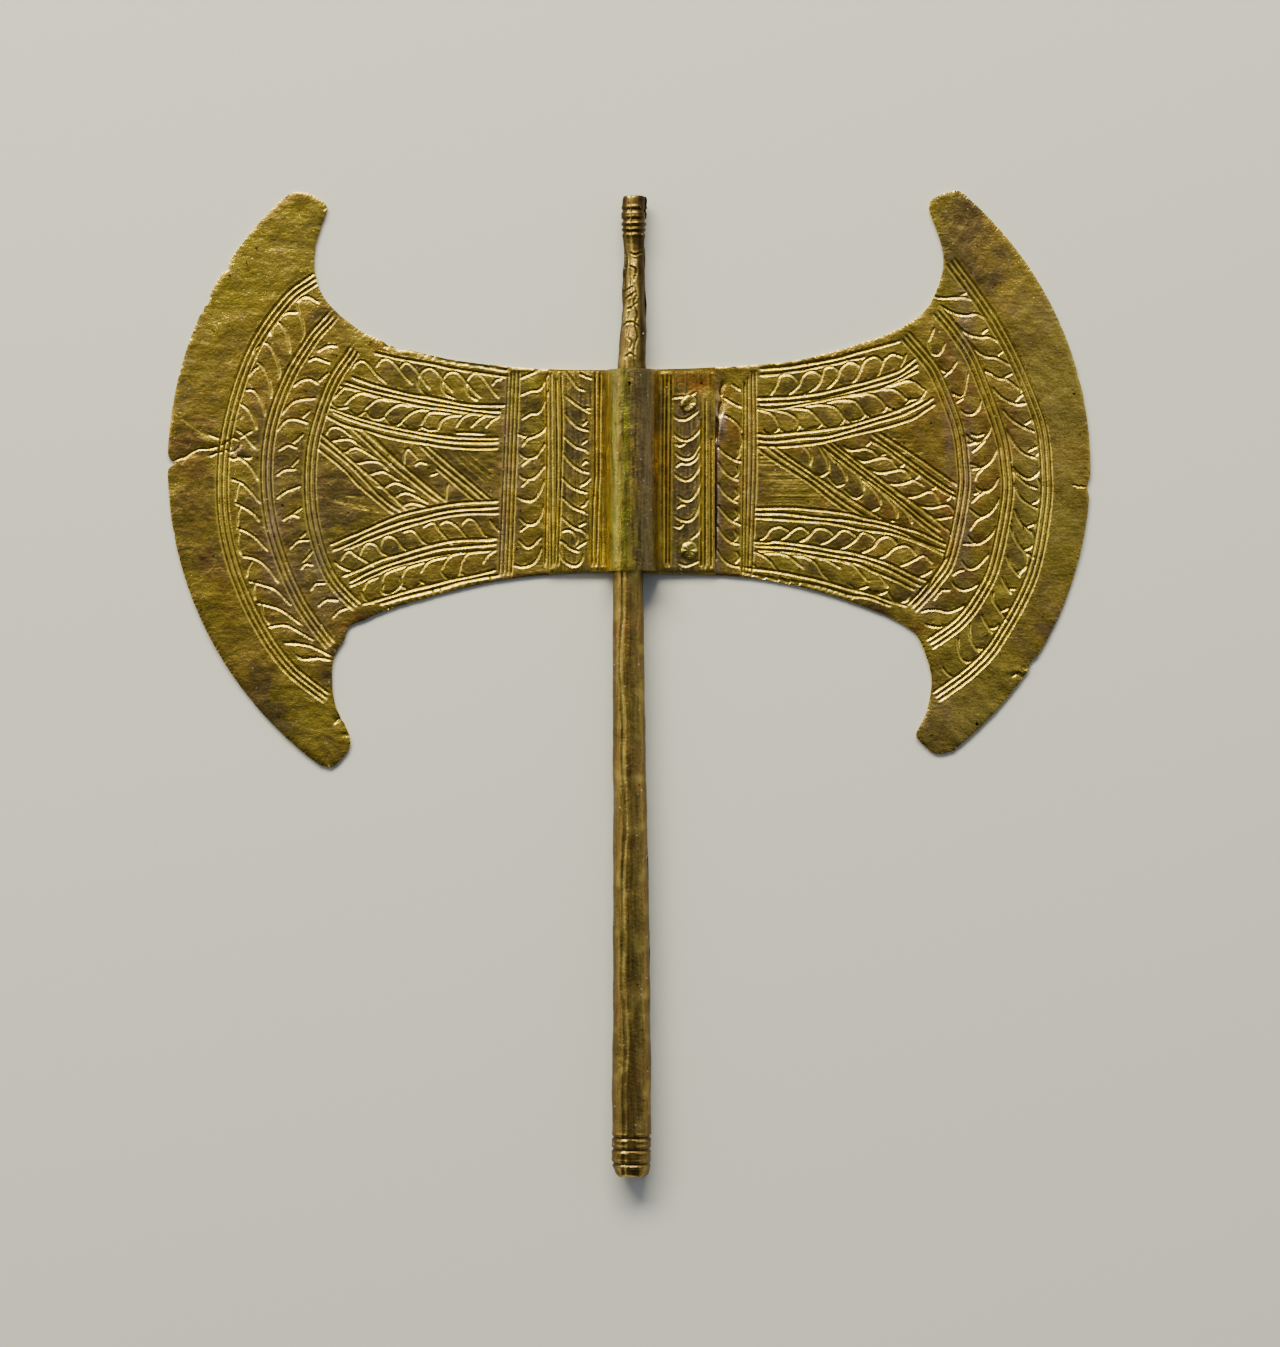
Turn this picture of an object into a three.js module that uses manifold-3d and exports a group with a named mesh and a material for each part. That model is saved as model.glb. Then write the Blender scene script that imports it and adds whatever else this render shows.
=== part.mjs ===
import * as THREE from 'three';
import { mergeVertices } from 'three/addons/utils/BufferGeometryUtils.js';
import Module from 'manifold-3d';

// A small votive double axe of thin hammered gold, lying on its flat back.
// X runs from wing to wing, Y up the handle, Z out of the decorated face; millimetres.
// The origin is the middle of the blade's back.

const span = 92.2;
const drawnSpan = 92.2;
const bladeSheet = 0.4;
const waistTop = 10.3;
const waistFoot = 10.0;
const edgeSteps = 30;

const sleeveSheet = 0.35;
const sleeveWidth = 16.6;
const bulgeWidth = 5.6;
const bulgeClearance = 0.15;
const bulgeSteps = 14;
const sleeveInset = 0.15;

const handleTop = 27.5;
const handleFoot = 70.1;
const handleWidth = 3.2;
const handleHeight = 2.9;
const handleSheet = 0.35;
const headWidth = 2.3;
const footWidth = 3.8;
const neckWidth = 2.0;
const handleShift = -0.15;
const handleFlat = 1.1;
const handleSides = 11;
const ringDepth = 0.14;
const ringWidth = 0.5;
const topRings = [1.2, 2.1, 2.85, 3.3];
const footRings = [1.1, 2.45, 3.65];

const rivetRadius = 0.9;
const rivetHeight = 0.45;
const rivetFromEdge = 2.6;
const rivetFromEnd = 2.1;
const upperRivetDrop = 1.2;
const rivetSides = 12;
const shankRadius = 0.4;
const shankClearance = 0.02;

const lineWidth = 0.32;
const lineDepth = 0.16;
const linePitch = 0.6;
const groupLines = 2;
const leafWidth = 0.34;
const leafDepth = 0.13;
const leafGap = 0.03;

const columnTop = 9.7;
const columnFoot = 9.5;
const columnPitch = 0.1;
const columnCount = 9;
const leftColumnWidth = 3.4;
const rightColumnWidth = 3.0;
const leftColumnLines = [3.3, 4.0];
const rightColumnLines = [3.1, 3.8];
const leftColumnLean = 0.85;
const flangeLinesAtEdge = { left: [0.3, 0.8], right: [0.75, 1.2] };
const flangeLinesAtBulge = { left: [0.8, 1.3], right: [0.6, 1.1] };

const goldColour = 0xb08a2e;
const oldGoldColour = 0x8f7a35;

const wasm = await Module();
wasm.setup();

const across = span / drawnSpan;

const point = ([x, y]) => new THREE.Vector3(x * across, y * across, 0);
const route = (points) => new THREE.CatmullRomCurve3(points.map(point), false, 'centripetal');

function toSolid(geometry) {
  geometry.deleteAttribute('normal');
  geometry.deleteAttribute('uv');
  const merged = mergeVertices(geometry, 1e-5);
  const vertProperties = new Float32Array(merged.attributes.position.array);
  const triVerts = new Uint32Array(merged.index.array);
  return new wasm.Manifold(new wasm.Mesh({ numProp: 3, vertProperties, triVerts }));
}

function toGeometry(solid) {
  const mesh = solid.getMesh();
  const geometry = new THREE.BufferGeometry();
  geometry.setAttribute('position', new THREE.BufferAttribute(mesh.vertProperties, 3));
  geometry.setIndex(new THREE.BufferAttribute(mesh.triVerts, 1));
  geometry.computeVertexNormals();
  return geometry;
}

// A V-shaped cutter that follows a route lying in the plane z = 0 and is then raised to a face.
function groove(path, steps, width, depth, face) {
  const rise = depth / 2;
  const section = new THREE.Shape([
    new THREE.Vector2(-rise, width * 0.75),
    new THREE.Vector2(-rise, -width * 0.75),
    new THREE.Vector2(depth, 0),
  ]);
  const cutter = new THREE.ExtrudeGeometry(section, { steps, bevelEnabled: false, extrudePath: path });
  cutter.translate(0, 0, face);
  return toSolid(cutter);
}

// The same route moved sideways, in the plane.
function beside(path, distance, samples) {
  const moved = [];
  for (let i = 0; i <= samples; i += 1) {
    const place = path.getPointAt(i / samples);
    const along = path.getTangentAt(i / samples);
    moved.push(new THREE.Vector3(place.x - along.y * distance, place.y + along.x * distance, 0));
  }
  return new THREE.CatmullRomCurve3(moved, false, 'centripetal');
}

// A group of parallel lines centred on a route.
function lineGroup(path, count, steps, face) {
  const lines = [];
  for (let i = 0; i < count; i += 1) {
    const offset = (i - (count - 1) / 2) * linePitch;
    lines.push(groove(beside(path, offset, steps), steps, lineWidth, lineDepth, face));
  }
  return lines;
}

// How far the middle of a leaf's stroke stays from the middle of a group of lines.
const leafMargin = (linePitch * (groupLines - 1) + lineWidth + leafWidth) / 2 + leafGap;

// A mark drawn between two borders: u runs along them, v across the clear space from first to second.
function mark(first, second, stroke, steps, face) {
  const points = stroke.map(([u, v]) => {
    const clamped = Math.min(Math.max(u, 0), 1);
    const near = first.getPointAt(clamped);
    const far = second.getPointAt(clamped);
    const inset = Math.min(leafMargin / near.distanceTo(far), 0.45);
    return near.lerp(far, THREE.MathUtils.lerp(inset, 1 - inset, v));
  });
  const path = new THREE.CatmullRomCurve3(points, false, 'centripetal');
  return groove(path, steps, leafWidth, leafDepth, face);
}

// A row of like marks in a band. The stroke is drawn in leaf lengths along the band.
function leafRow(first, second, { start, pitch, count, stroke, steps }, face) {
  const marks = [];
  for (let k = 0; k < count; k += 1) {
    const placed = stroke.map(([s, v]) => [start + (k + s) * pitch, v]);
    marks.push(mark(first, second, placed, steps, face));
  }
  return marks;
}

// Outline of the blade. The cutting edges are arcs, the horns and the waist are drawn through points.
const leftEdge = { x: -9.5, y: 0.7, radius: 37.0 };
const rightEdge = { x: 9.9, y: 0.5, radius: 36.0 };

const upperLeftHorn = [
  [-34.8, 27.5], [-34.2, 28.05], [-33.1, 28.15], [-31.8, 27.8], [-30.6, 26.9], [-30.5, 26.1], [-31.2, 24.2],
  [-31.65, 22.2], [-31.6, 19.8], [-30.5, 17.2], [-27.45, 14.5], [-24.6, 13.1],
];
const upperWaist = [
  [-22.2, 12.35], [-16.8, 11.2], [-8.4, 10.4], [0, waistTop], [8.4, 10.6], [16.8, 11.4], [24.0, 13.4],
];
const upperRightHorn = [
  [27.6, 15.0], [29.6, 16.7], [30.8, 19.4], [31.1, 21.5], [30.7, 23.5], [29.7, 26.3], [30.1, 27.5],
  [32.4, 28.3], [33.6, 27.7],
];
const lowerRightHorn = [
  [32.4, -27.8], [30.4, -28.1], [28.7, -26.8], [28.4, -26.0], [29.4, -23.9], [29.9, -20.5], [28.8, -16.9],
  [27.6, -15.5],
];
const lowerWaist = [
  [24.0, -13.7], [16.8, -11.4], [9.6, -10.3], [0, -waistFoot], [-6.0, -10.0], [-14.0, -10.9], [-23.2, -13.3],
];
const lowerLeftHorn = [
  [-27.4, -15.1], [-28.9, -16.9], [-29.9, -19.0], [-29.7, -22.9], [-28.3, -26.0], [-28.3, -27.7],
  [-29.9, -29.4], [-31.0, -29.3],
];

// Small losses at the rim: a place, the way its point faces, how wide and how deep it is.
const losses = [
  { x: -46.6, y: 1.1, turn: 12, width: 0.9, depth: 1.6 },
  { x: -40.75, y: 20.6, turn: -35, width: 0.9, depth: 0.5 },
  { x: -42.5, y: 17.2, turn: -28, width: 1.1, depth: 0.5 },
  { x: 45.95, y: -1.3, turn: 180, width: 1.6, depth: 0.4 },
  { x: 40.4, y: -19.2, turn: 150, width: 1.4, depth: 0.5 },
  { x: -28.2, y: -15.3, turn: 60, width: 1.6, depth: 0.5 },
];

// Places along a cutting edge between two ends, turning clockwise.
function edgePoints(edge, from, to) {
  const begin = Math.atan2(from[1] - edge.y, from[0] - edge.x);
  const end = Math.atan2(to[1] - edge.y, to[0] - edge.x);
  const turn = end < begin ? end - begin : end - begin - 2 * Math.PI;
  const points = [];
  for (let i = 1; i < edgeSteps; i += 1) {
    const angle = begin + (turn * i) / edgeSteps;
    points.push([edge.x + edge.radius * Math.cos(angle), edge.y + edge.radius * Math.sin(angle)]);
  }
  return points;
}

function smooth(points, perStep) {
  const line = new THREE.SplineCurve(points.map(([x, y]) => new THREE.Vector2(x, y)));
  return line.getPoints((points.length - 1) * perStep).map((p) => [p.x, p.y]);
}

function bladeOutline() {
  const upper = smooth([...upperLeftHorn, ...upperWaist, ...upperRightHorn], 2);
  const lower = smooth([...lowerRightHorn, ...lowerWaist, ...lowerLeftHorn], 2);
  const right = edgePoints(rightEdge, upper.at(-1), lower[0]);
  const left = edgePoints(leftEdge, lower.at(-1), upper[0]);
  return [...upper, ...right, ...lower, ...left];
}

function extrudeOutline(points, height) {
  const shape = new THREE.Shape(points.map(([x, y]) => new THREE.Vector2(x * across, y * across)));
  return toSolid(new THREE.ExtrudeGeometry(shape, { depth: height, bevelEnabled: false, steps: 1 }));
}

// A three-cornered bite out of the rim, its point turned inwards.
function loss({ x, y, turn, width, depth }) {
  const bite = new THREE.Shape([
    new THREE.Vector2(depth, 0),
    new THREE.Vector2(-depth, width),
    new THREE.Vector2(-depth, -width),
  ]);
  const cutter = new THREE.ExtrudeGeometry(bite, { depth: bladeSheet * 3, bevelEnabled: false, steps: 1 });
  cutter.rotateZ(THREE.MathUtils.degToRad(turn));
  cutter.translate(x * across, y * across, -bladeSheet);
  return toSolid(cutter);
}

// Ornament of the left wing: three groups of arcs along the edge, panels of leaves towards the middle.
const leftArcs = {
  outer: [
    [-31.6, 19.5], [-34.5, 17.3], [-38.0, 12.2], [-40.3, 5.3], [-41.0, -0.7], [-40.5, -6.7], [-38.3, -13.2],
    [-34.8, -18.9], [-30.6, -22.5],
  ],
  middle: [
    [-30.0, 15.7], [-32.1, 13.3], [-34.5, 9.3], [-36.2, 4.3], [-36.6, -1.2], [-35.7, -6.7], [-33.3, -12.7],
    [-30.2, -17.2],
  ],
  inner: [
    [-27.8, 12.3], [-29.8, 9.3], [-31.2, 5.8], [-32.1, 1.8], [-32.15, -3.2], [-31.3, -7.4], [-29.9, -10.7],
    [-27.6, -13.3],
  ],
};
const leftBorders = {
  top: [[-24.6, 12.4], [-22.2, 11.9], [-18.2, 11.0], [-14.2, 10.45], [-12.5, 10.1]],
  second: [[-28.7, 9.1], [-25.2, 8.1], [-21.2, 7.3], [-17.2, 6.6], [-13.2, 6.2]],
  third: [[-29.9, 6.1], [-26.2, 4.8], [-22.2, 3.9], [-18.2, 3.2], [-13.4, 2.9]],
  fourth: [[-30.0, -7.6], [-26.7, -6.2], [-23.2, -4.8], [-19.2, -3.9], [-13.4, -3.3]],
  fifth: [[-28.5, -10.8], [-25.2, -9.2], [-21.2, -8.0], [-17.2, -7.3], [-13.6, -7.0]],
  bottom: [[-25.4, -12.8], [-22.2, -11.9], [-18.2, -10.9], [-13.6, -10.0]],
};
const leftDiagonals = {
  first: [[-31.2, 3.0], [-28.2, 0.6], [-25.2, -2.5], [-23.2, -4.0]],
  second: [[-27.0, 4.2], [-23.2, 0.8], [-18.9, -2.8]],
  third: [[-21.1, 2.5], [-19.2, 0.7], [-16.2, -1.7], [-14.7, -3.0]],
};

// Ornament of the right wing, laid out in the same way but not its mirror image.
const rightArcs = {
  outer: [
    [31.9, 21.1], [34.1, 18.2], [36.2, 15.1], [38.2, 11.5], [39.8, 7.8], [41.0, 4.3], [41.4, 0.3],
    [41.3, -3.7], [39.9, -10.4], [36.6, -16.7], [34.0, -19.7], [30.4, -22.4],
  ],
  middle: [
    [30.6, 16.2], [32.4, 14.0], [34.3, 10.9], [36.7, 4.5], [37.4, 1.1], [37.5, -2.7], [36.2, -9.2],
    [34.8, -12.2], [32.8, -14.9], [29.8, -17.1],
  ],
  inner: [
    [27.4, 13.7], [28.9, 12.0], [30.5, 9.8], [32.5, 4.8], [33.1, 1.1], [33.1, -2.2], [31.8, -8.4],
    [30.3, -10.9], [28.0, -13.5],
  ],
};
const rightBorders = {
  top: [[12.8, 10.2], [15.8, 10.45], [18.8, 10.95], [21.8, 11.65], [26.4, 12.9]],
  second: [[12.6, 6.75], [15.8, 6.9], [18.8, 7.25], [21.8, 8.0], [24.8, 8.8], [28.5, 10.65]],
  third: [[12.5, 3.15], [16.8, 3.3], [19.8, 3.6], [23.8, 4.7], [27.8, 6.0], [30.1, 7.3]],
  fourth: [[12.3, -4.2], [16.8, -4.4], [20.8, -4.8], [23.8, -5.3], [26.8, -6.05], [31.3, -8.0]],
  fifth: [[12.3, -7.3], [15.8, -7.45], [19.8, -8.0], [22.8, -8.7], [25.8, -9.7], [29.1, -11.2]],
  bottom: [[11.5, -9.8], [15.3, -10.3], [19.8, -11.3], [23.8, -12.4], [27.2, -13.4]],
};
const rightDiagonals = {
  first: [[13.3, 2.6], [16.8, 0.1], [19.8, -2.1], [23.6, -4.7]],
  second: [[19.8, 2.7], [23.8, -0.1], [26.8, -2.5], [31.3, -5.7]],
  third: [[24.0, 3.7], [26.8, 1.7], [29.8, -0.5], [32.3, -2.2]],
};

// Rows of leaves: how far along a row begins, the room for each leaf, and the stroke that draws one.
const leftRows = {
  outer: {
    start: 0.11, pitch: 0.0535, count: 16, steps: 2,
    stroke: [[0, 0], [0.35, 0.4], [0.8, 0.7], [1.4, 0.95]],
  },
  inner: {
    start: 0.13, pitch: 0.068, count: 13, steps: 2,
    stroke: [[0, 0], [-0.35, 0.45], [-0.5, 1]],
  },
  first: {
    start: 0.04, pitch: 0.14, count: 7, steps: 3,
    stroke: [[0, 0.6], [0.25, 1], [0.5, 0.9], [0.75, 0.4], [1.1, 0]],
  },
  second: {
    start: 0.06, pitch: 0.112, count: 8, steps: 3,
    stroke: [[0, 0.1], [0.3, 0.55], [0.8, 0.85], [1.4, 1]],
  },
  fourth: {
    start: 0.03, pitch: 0.12, count: 8, steps: 2,
    stroke: [[0, 0.4], [0.1, 0.8], [0.4, 1], [0.7, 0.75], [1.3, 0]],
  },
  fifth: {
    start: 0.04, pitch: 0.14, count: 7, steps: 2,
    stroke: [[0, 0.1], [0.25, 0.75], [0.8, 1]],
  },
};
const rightRows = {
  outer: {
    start: 0.015, pitch: 0.053, count: 18, steps: 2,
    stroke: [[0, 0], [0.35, 0.15], [0.7, 0.5], [1, 1]],
  },
  inner: {
    start: 0.07, pitch: 0.078, count: 12, steps: 2,
    stroke: [[0, 0], [0.3, 0.2], [0.3, 0.45], [-0.1, 0.75], [-0.5, 1]],
  },
  first: {
    start: 0.13, pitch: 0.14, count: 6, steps: 3,
    stroke: [[-0.5, 0], [-0.05, 0.5], [0.1, 0.8], [0.35, 1], [0.65, 0.85]],
  },
  second: {
    start: 0.13, pitch: 0.128, count: 7, steps: 3,
    stroke: [[-0.8, 1], [-0.3, 0.85], [0, 0.5], [0.45, 0]],
  },
  fourth: {
    start: 0.15, pitch: 0.118, count: 7, steps: 2,
    stroke: [[-0.9, 0], [-0.3, 0.5], [-0.1, 0.85], [0.2, 1], [0.5, 0.75]],
  },
  fifth: {
    start: 0.15, pitch: 0.13, count: 6, steps: 2,
    stroke: [[-0.8, 1], [-0.2, 0.6], [0.3, 0]],
  },
};
const leftDiagonalRow = {
  start: 0.05, pitch: 0.17, count: 5, steps: 2, stroke: [[0, 0], [0.4, 0.3], [0.9, 1]],
};
const rightDiagonalRow = {
  start: 0.15, pitch: 0.16, count: 5, steps: 2, stroke: [[0, 0], [0.5, 0.2], [1.1, 1]],
};

const leftOrnament = {
  arcs: leftArcs,
  borders: leftBorders,
  diagonals: leftDiagonals,
  rows: leftRows,
  diagonalRow: leftDiagonalRow,
};
const rightOrnament = {
  arcs: rightArcs,
  borders: rightBorders,
  diagonals: rightDiagonals,
  rows: rightRows,
  diagonalRow: rightDiagonalRow,
};

// The right wing's outer leaves lean less and less towards the foot of the wing.
const rightLeanAtTop = 2.2;
const rightLeanLoss = 0.14;
// The left wing's lean more and more.
const leftLeanAtTop = 0.5;
const leftLeanGain = 0.11;

function leaningRow(first, second, row, lean, face) {
  const marks = [];
  for (let k = 0; k < row.count; k += 1) {
    const placed = row.stroke.map(([s, v]) => [row.start + (k + s * lean(k)) * row.pitch, v]);
    marks.push(mark(first, second, placed, row.steps, face));
  }
  return marks;
}

// Upright columns beside and on the sleeve: between which lines each stands, and the stroke that fills it.
const sleeveHalf = sleeveWidth / 2;
const bulgeHalf = bulgeWidth / 2;
const bladeLines = {
  left: leftColumnLines.map((d) => -sleeveHalf - d),
  right: rightColumnLines.map((d) => sleeveHalf + d),
};
const bladeColumns = [
  { from: -sleeveHalf - leftColumnWidth, to: -sleeveHalf, stroke: [[0.85, 0], [0.75, 0.45], [0.35, 1]] },
  { from: sleeveHalf, to: sleeveHalf + rightColumnWidth, stroke: [[0.2, 0], [0.6, 0.45], [0.85, 1]] },
];
const sleeveLines = [
  ...flangeLinesAtEdge.left.map((d) => d - sleeveHalf),
  ...flangeLinesAtBulge.left.map((d) => -bulgeHalf - d),
  ...flangeLinesAtBulge.right.map((d) => bulgeHalf + d),
  ...flangeLinesAtEdge.right.map((d) => sleeveHalf - d),
];
const sleeveColumns = [
  { from: sleeveLines[1], to: sleeveLines[3], stroke: [[0.1, 0], [0.55, 0.45], [0.85, 1]] },
  { from: sleeveLines[5], to: sleeveLines[7], stroke: [[0.3, 0], [0.6, 0.4], [0.4, 0.75], [-0.1, 1]] },
];

function uprightLine(x, lean, face) {
  const path = new THREE.LineCurve3(
    new THREE.Vector3(x * across, columnTop * across, 0),
    new THREE.Vector3((x - lean) * across, -columnFoot * across, 0),
  );
  return groove(path, 1, lineWidth, lineDepth, face);
}

function column({ from, to, stroke }, face) {
  const near = route([[from, columnTop], [from, -columnFoot]]);
  const far = route([[to, columnTop], [to, -columnFoot]]);
  const row = { start: 0.02, pitch: columnPitch, count: columnCount, steps: 2, stroke };
  return leafRow(near, far, row, face);
}

function wingOrnament({ arcs, borders, diagonals, rows, diagonalRow }, lean, face) {
  const arc = (name) => route(arcs[name]);
  const border = (name) => route(borders[name]);
  const diagonal = (name) => route(diagonals[name]);
  return [
    ...lineGroup(arc('outer'), groupLines, 9, face),
    ...lineGroup(arc('middle'), groupLines, 7, face),
    ...lineGroup(arc('inner'), groupLines, 6, face),
    ...lineGroup(border('top'), groupLines, 3, face),
    ...lineGroup(border('second'), groupLines, 3, face),
    ...lineGroup(border('third'), groupLines, 3, face),
    ...lineGroup(border('fourth'), groupLines, 3, face),
    ...lineGroup(border('fifth'), groupLines, 3, face),
    ...lineGroup(border('bottom'), groupLines, 3, face),
    ...lineGroup(diagonal('first'), groupLines, 2, face),
    ...lineGroup(diagonal('second'), groupLines, 2, face),
    ...lineGroup(diagonal('third'), groupLines, 2, face),
    ...leaningRow(arc('outer'), arc('middle'), rows.outer, lean, face),
    ...leafRow(arc('middle'), arc('inner'), rows.inner, face),
    ...leafRow(border('second'), border('top'), rows.first, face),
    ...leafRow(border('third'), border('second'), rows.second, face),
    ...leafRow(border('fifth'), border('fourth'), rows.fourth, face),
    ...leafRow(border('bottom'), border('fifth'), rows.fifth, face),
    ...leafRow(diagonal('first'), diagonal('second'), diagonalRow, face),
    ...leafRow(diagonal('second'), diagonal('third'), diagonalRow, face),
  ];
}

const flangeTop = bladeSheet + sleeveSheet;
const sleeveTop = waistTop * across - sleeveInset;
const sleeveFoot = -waistFoot * across + sleeveInset;
const rivetX = sleeveHalf - rivetFromEdge;
const rivets = [
  { name: 'upper_rivet', x: rivetX, y: sleeveTop - rivetFromEnd - upperRivetDrop, wear: 0.7 },
  { name: 'lower_rivet', x: rivetX, y: sleeveFoot + rivetFromEnd, wear: 1 },
];

function turned(profile, sides) {
  const geometry = new THREE.LatheGeometry(profile.map(([r, z]) => new THREE.Vector2(r, z)), sides);
  geometry.rotateX(Math.PI / 2);
  return geometry;
}

function shankHole({ x, y }) {
  const radius = shankRadius + shankClearance;
  const above = flangeTop * 2;
  const hole = turned([[0, -bladeSheet], [radius, -bladeSheet], [radius, above], [0, above]], rivetSides);
  hole.translate(x, y, 0);
  return toSolid(hole);
}

// The blade: one sheet, wing to wing behind the sleeve, chased on its front.
function makeBlade() {
  const sheet = extrudeOutline(bladeOutline(), bladeSheet);
  const leftLean = (k) => leftLeanAtTop + leftLeanGain * k;
  const rightLean = (k) => rightLeanAtTop - rightLeanLoss * k;
  const cuts = [
    ...wingOrnament(leftOrnament, leftLean, bladeSheet),
    ...wingOrnament(rightOrnament, rightLean, bladeSheet),
    ...bladeLines.left.map((x) => uprightLine(x, leftColumnLean, bladeSheet)),
    ...bladeLines.right.map((x) => uprightLine(x, 0, bladeSheet)),
    ...bladeColumns.flatMap((place) => column(place, bladeSheet)),
    ...losses.map(loss),
    ...rivets.map(shankHole),
  ];
  return sheet.subtract(wasm.Manifold.union(cuts));
}

// The sleeve: a plate bent up over the handle into a long bulge, its two flanges flat on the blade.
function makeSleeve() {
  const rise = handleHeight + bulgeClearance + sleeveSheet;
  const shape = new THREE.Shape();
  shape.moveTo(-sleeveHalf, 0);
  const inside = bulgeHalf - sleeveSheet;
  const lines = [[-inside, 0]];
  for (let i = 1; i < bulgeSteps; i += 1) {
    const angle = Math.PI - (Math.PI * i) / bulgeSteps;
    lines.push([inside * Math.cos(angle), (rise - sleeveSheet) * Math.sin(angle)]);
  }
  lines.push([inside, 0], [sleeveHalf, 0], [sleeveHalf, sleeveSheet]);
  const lift = Math.asin(sleeveSheet / rise);
  for (let i = 0; i <= bulgeSteps; i += 1) {
    const angle = lift + ((Math.PI - 2 * lift) * i) / bulgeSteps;
    lines.push([bulgeHalf * Math.cos(angle), rise * Math.sin(angle)]);
  }
  lines.push([-sleeveHalf, sleeveSheet]);
  lines.forEach(([x, z]) => shape.lineTo(x, z));
  const length = sleeveTop - sleeveFoot;
  const plate = new THREE.ExtrudeGeometry(shape, { depth: length, bevelEnabled: false, steps: 1 });
  plate.rotateX(Math.PI / 2);
  plate.translate(0, sleeveTop, bladeSheet);
  const cuts = [
    ...sleeveLines.map((x) => uprightLine(x, 0, flangeTop)),
    ...sleeveColumns.flatMap((place) => column(place, flangeTop)),
    ...rivets.map(shankHole),
  ];
  return toSolid(plate).subtract(wasm.Manifold.union(cuts));
}

// A rivet: a low round head on the flange and a shank through both sheets, flush at the back.
function makeRivet({ x, y, wear }) {
  const height = rivetHeight * wear;
  const profile = [
    [0, 0],
    [shankRadius, 0],
    [shankRadius, flangeTop],
    [rivetRadius, flangeTop],
    [rivetRadius * 0.97, flangeTop + height * 0.45],
    [rivetRadius * 0.75, flangeTop + height * 0.8],
    [rivetRadius * 0.4, flangeTop + height * 0.97],
    [0, flangeTop + height],
  ];
  const rivet = turned(profile, rivetSides);
  rivet.translate(x, y, 0);
  return toSolid(rivet);
}

// Widths of the handle from its foot to its head, each at a distance from the foot.
const handleLength = handleTop + handleFoot;
const handleWidths = [
  [0, footWidth * 0.55], [0.5, footWidth * 0.92], [5, footWidth], [handleLength * 0.28, footWidth * 0.96],
  [handleLength * 0.62, handleWidth], [handleLength * 0.84, handleWidth * 0.86], [handleLength - 6, neckWidth],
  [handleLength - 3.8, headWidth], [handleLength - 0.4, headWidth], [handleLength, headWidth * 0.8],
];

function widthAt(distance) {
  let i = 1;
  while (i < handleWidths.length - 1 && handleWidths[i][0] < distance) {
    i += 1;
  }
  const [d0, w0] = handleWidths[i - 1];
  const [d1, w1] = handleWidths[i];
  return THREE.MathUtils.lerp(w0, w1, THREE.MathUtils.clamp((distance - d0) / (d1 - d0), 0, 1));
}

// The handle: a tube rolled from sheet, with ring grooves near both ends, flattened where it lies.
function makeHandle() {
  const grooves = [...footRings, ...topRings.map((d) => handleLength - d)];
  const stations = new Set(handleWidths.map(([d]) => d));
  for (const d of grooves) {
    stations.add(d - ringWidth / 2);
    stations.add(d);
    stations.add(d + ringWidth / 2);
  }
  const sorted = [...stations].filter((d) => d >= 0 && d <= handleLength).sort((a, b) => a - b);
  const outer = sorted.map((d) => [widthAt(d) / 2 - (grooves.includes(d) ? ringDepth : 0), d]);
  const inner = handleWidths.map(([d, w]) => [Math.max(w / 2 - handleSheet, handleSheet), d]).reverse();
  const profile = [...outer, ...inner, outer[0]].map(([r, d]) => new THREE.Vector2(r, d - handleFoot));
  const geometry = new THREE.LatheGeometry(profile, handleSides);
  const flatness = handleHeight / handleWidth;
  const place = geometry.attributes.position;
  for (let i = 0; i < place.count; i += 1) {
    const half = widthAt(place.getY(i) + handleFoot) / 2;
    place.setX(i, place.getX(i) + handleShift);
    place.setZ(i, (place.getZ(i) + half) * flatness);
  }
  const press = new THREE.BoxGeometry(footWidth * 3, handleLength * 2, footWidth * 4);
  const sink = flatness * (handleWidth / 2 - Math.sqrt((handleWidth / 2) ** 2 - (handleFlat / 2) ** 2));
  press.translate(0, 0, footWidth * 2 + sink);
  const pressed = toSolid(geometry).intersect(toSolid(press));
  return pressed.translate([0, 0, bladeSheet - sink]);
}

const gold = new THREE.MeshStandardMaterial({ color: goldColour, roughness: 0.35, metalness: 1 });
const oldGold = new THREE.MeshStandardMaterial({ color: oldGoldColour, roughness: 0.4, metalness: 1 });

const axe = new THREE.Group();

function addPiece(name, solid, material) {
  const piece = new THREE.Mesh(toGeometry(solid), material);
  piece.name = name;
  axe.add(piece);
}

addPiece('blade', makeBlade(), gold);
addPiece('sleeve', makeSleeve(), oldGold);
addPiece('handle', makeHandle(), gold);
rivets.forEach((place) => addPiece(place.name, makeRivet(place), gold));

export default axe;
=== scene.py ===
import math

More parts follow.
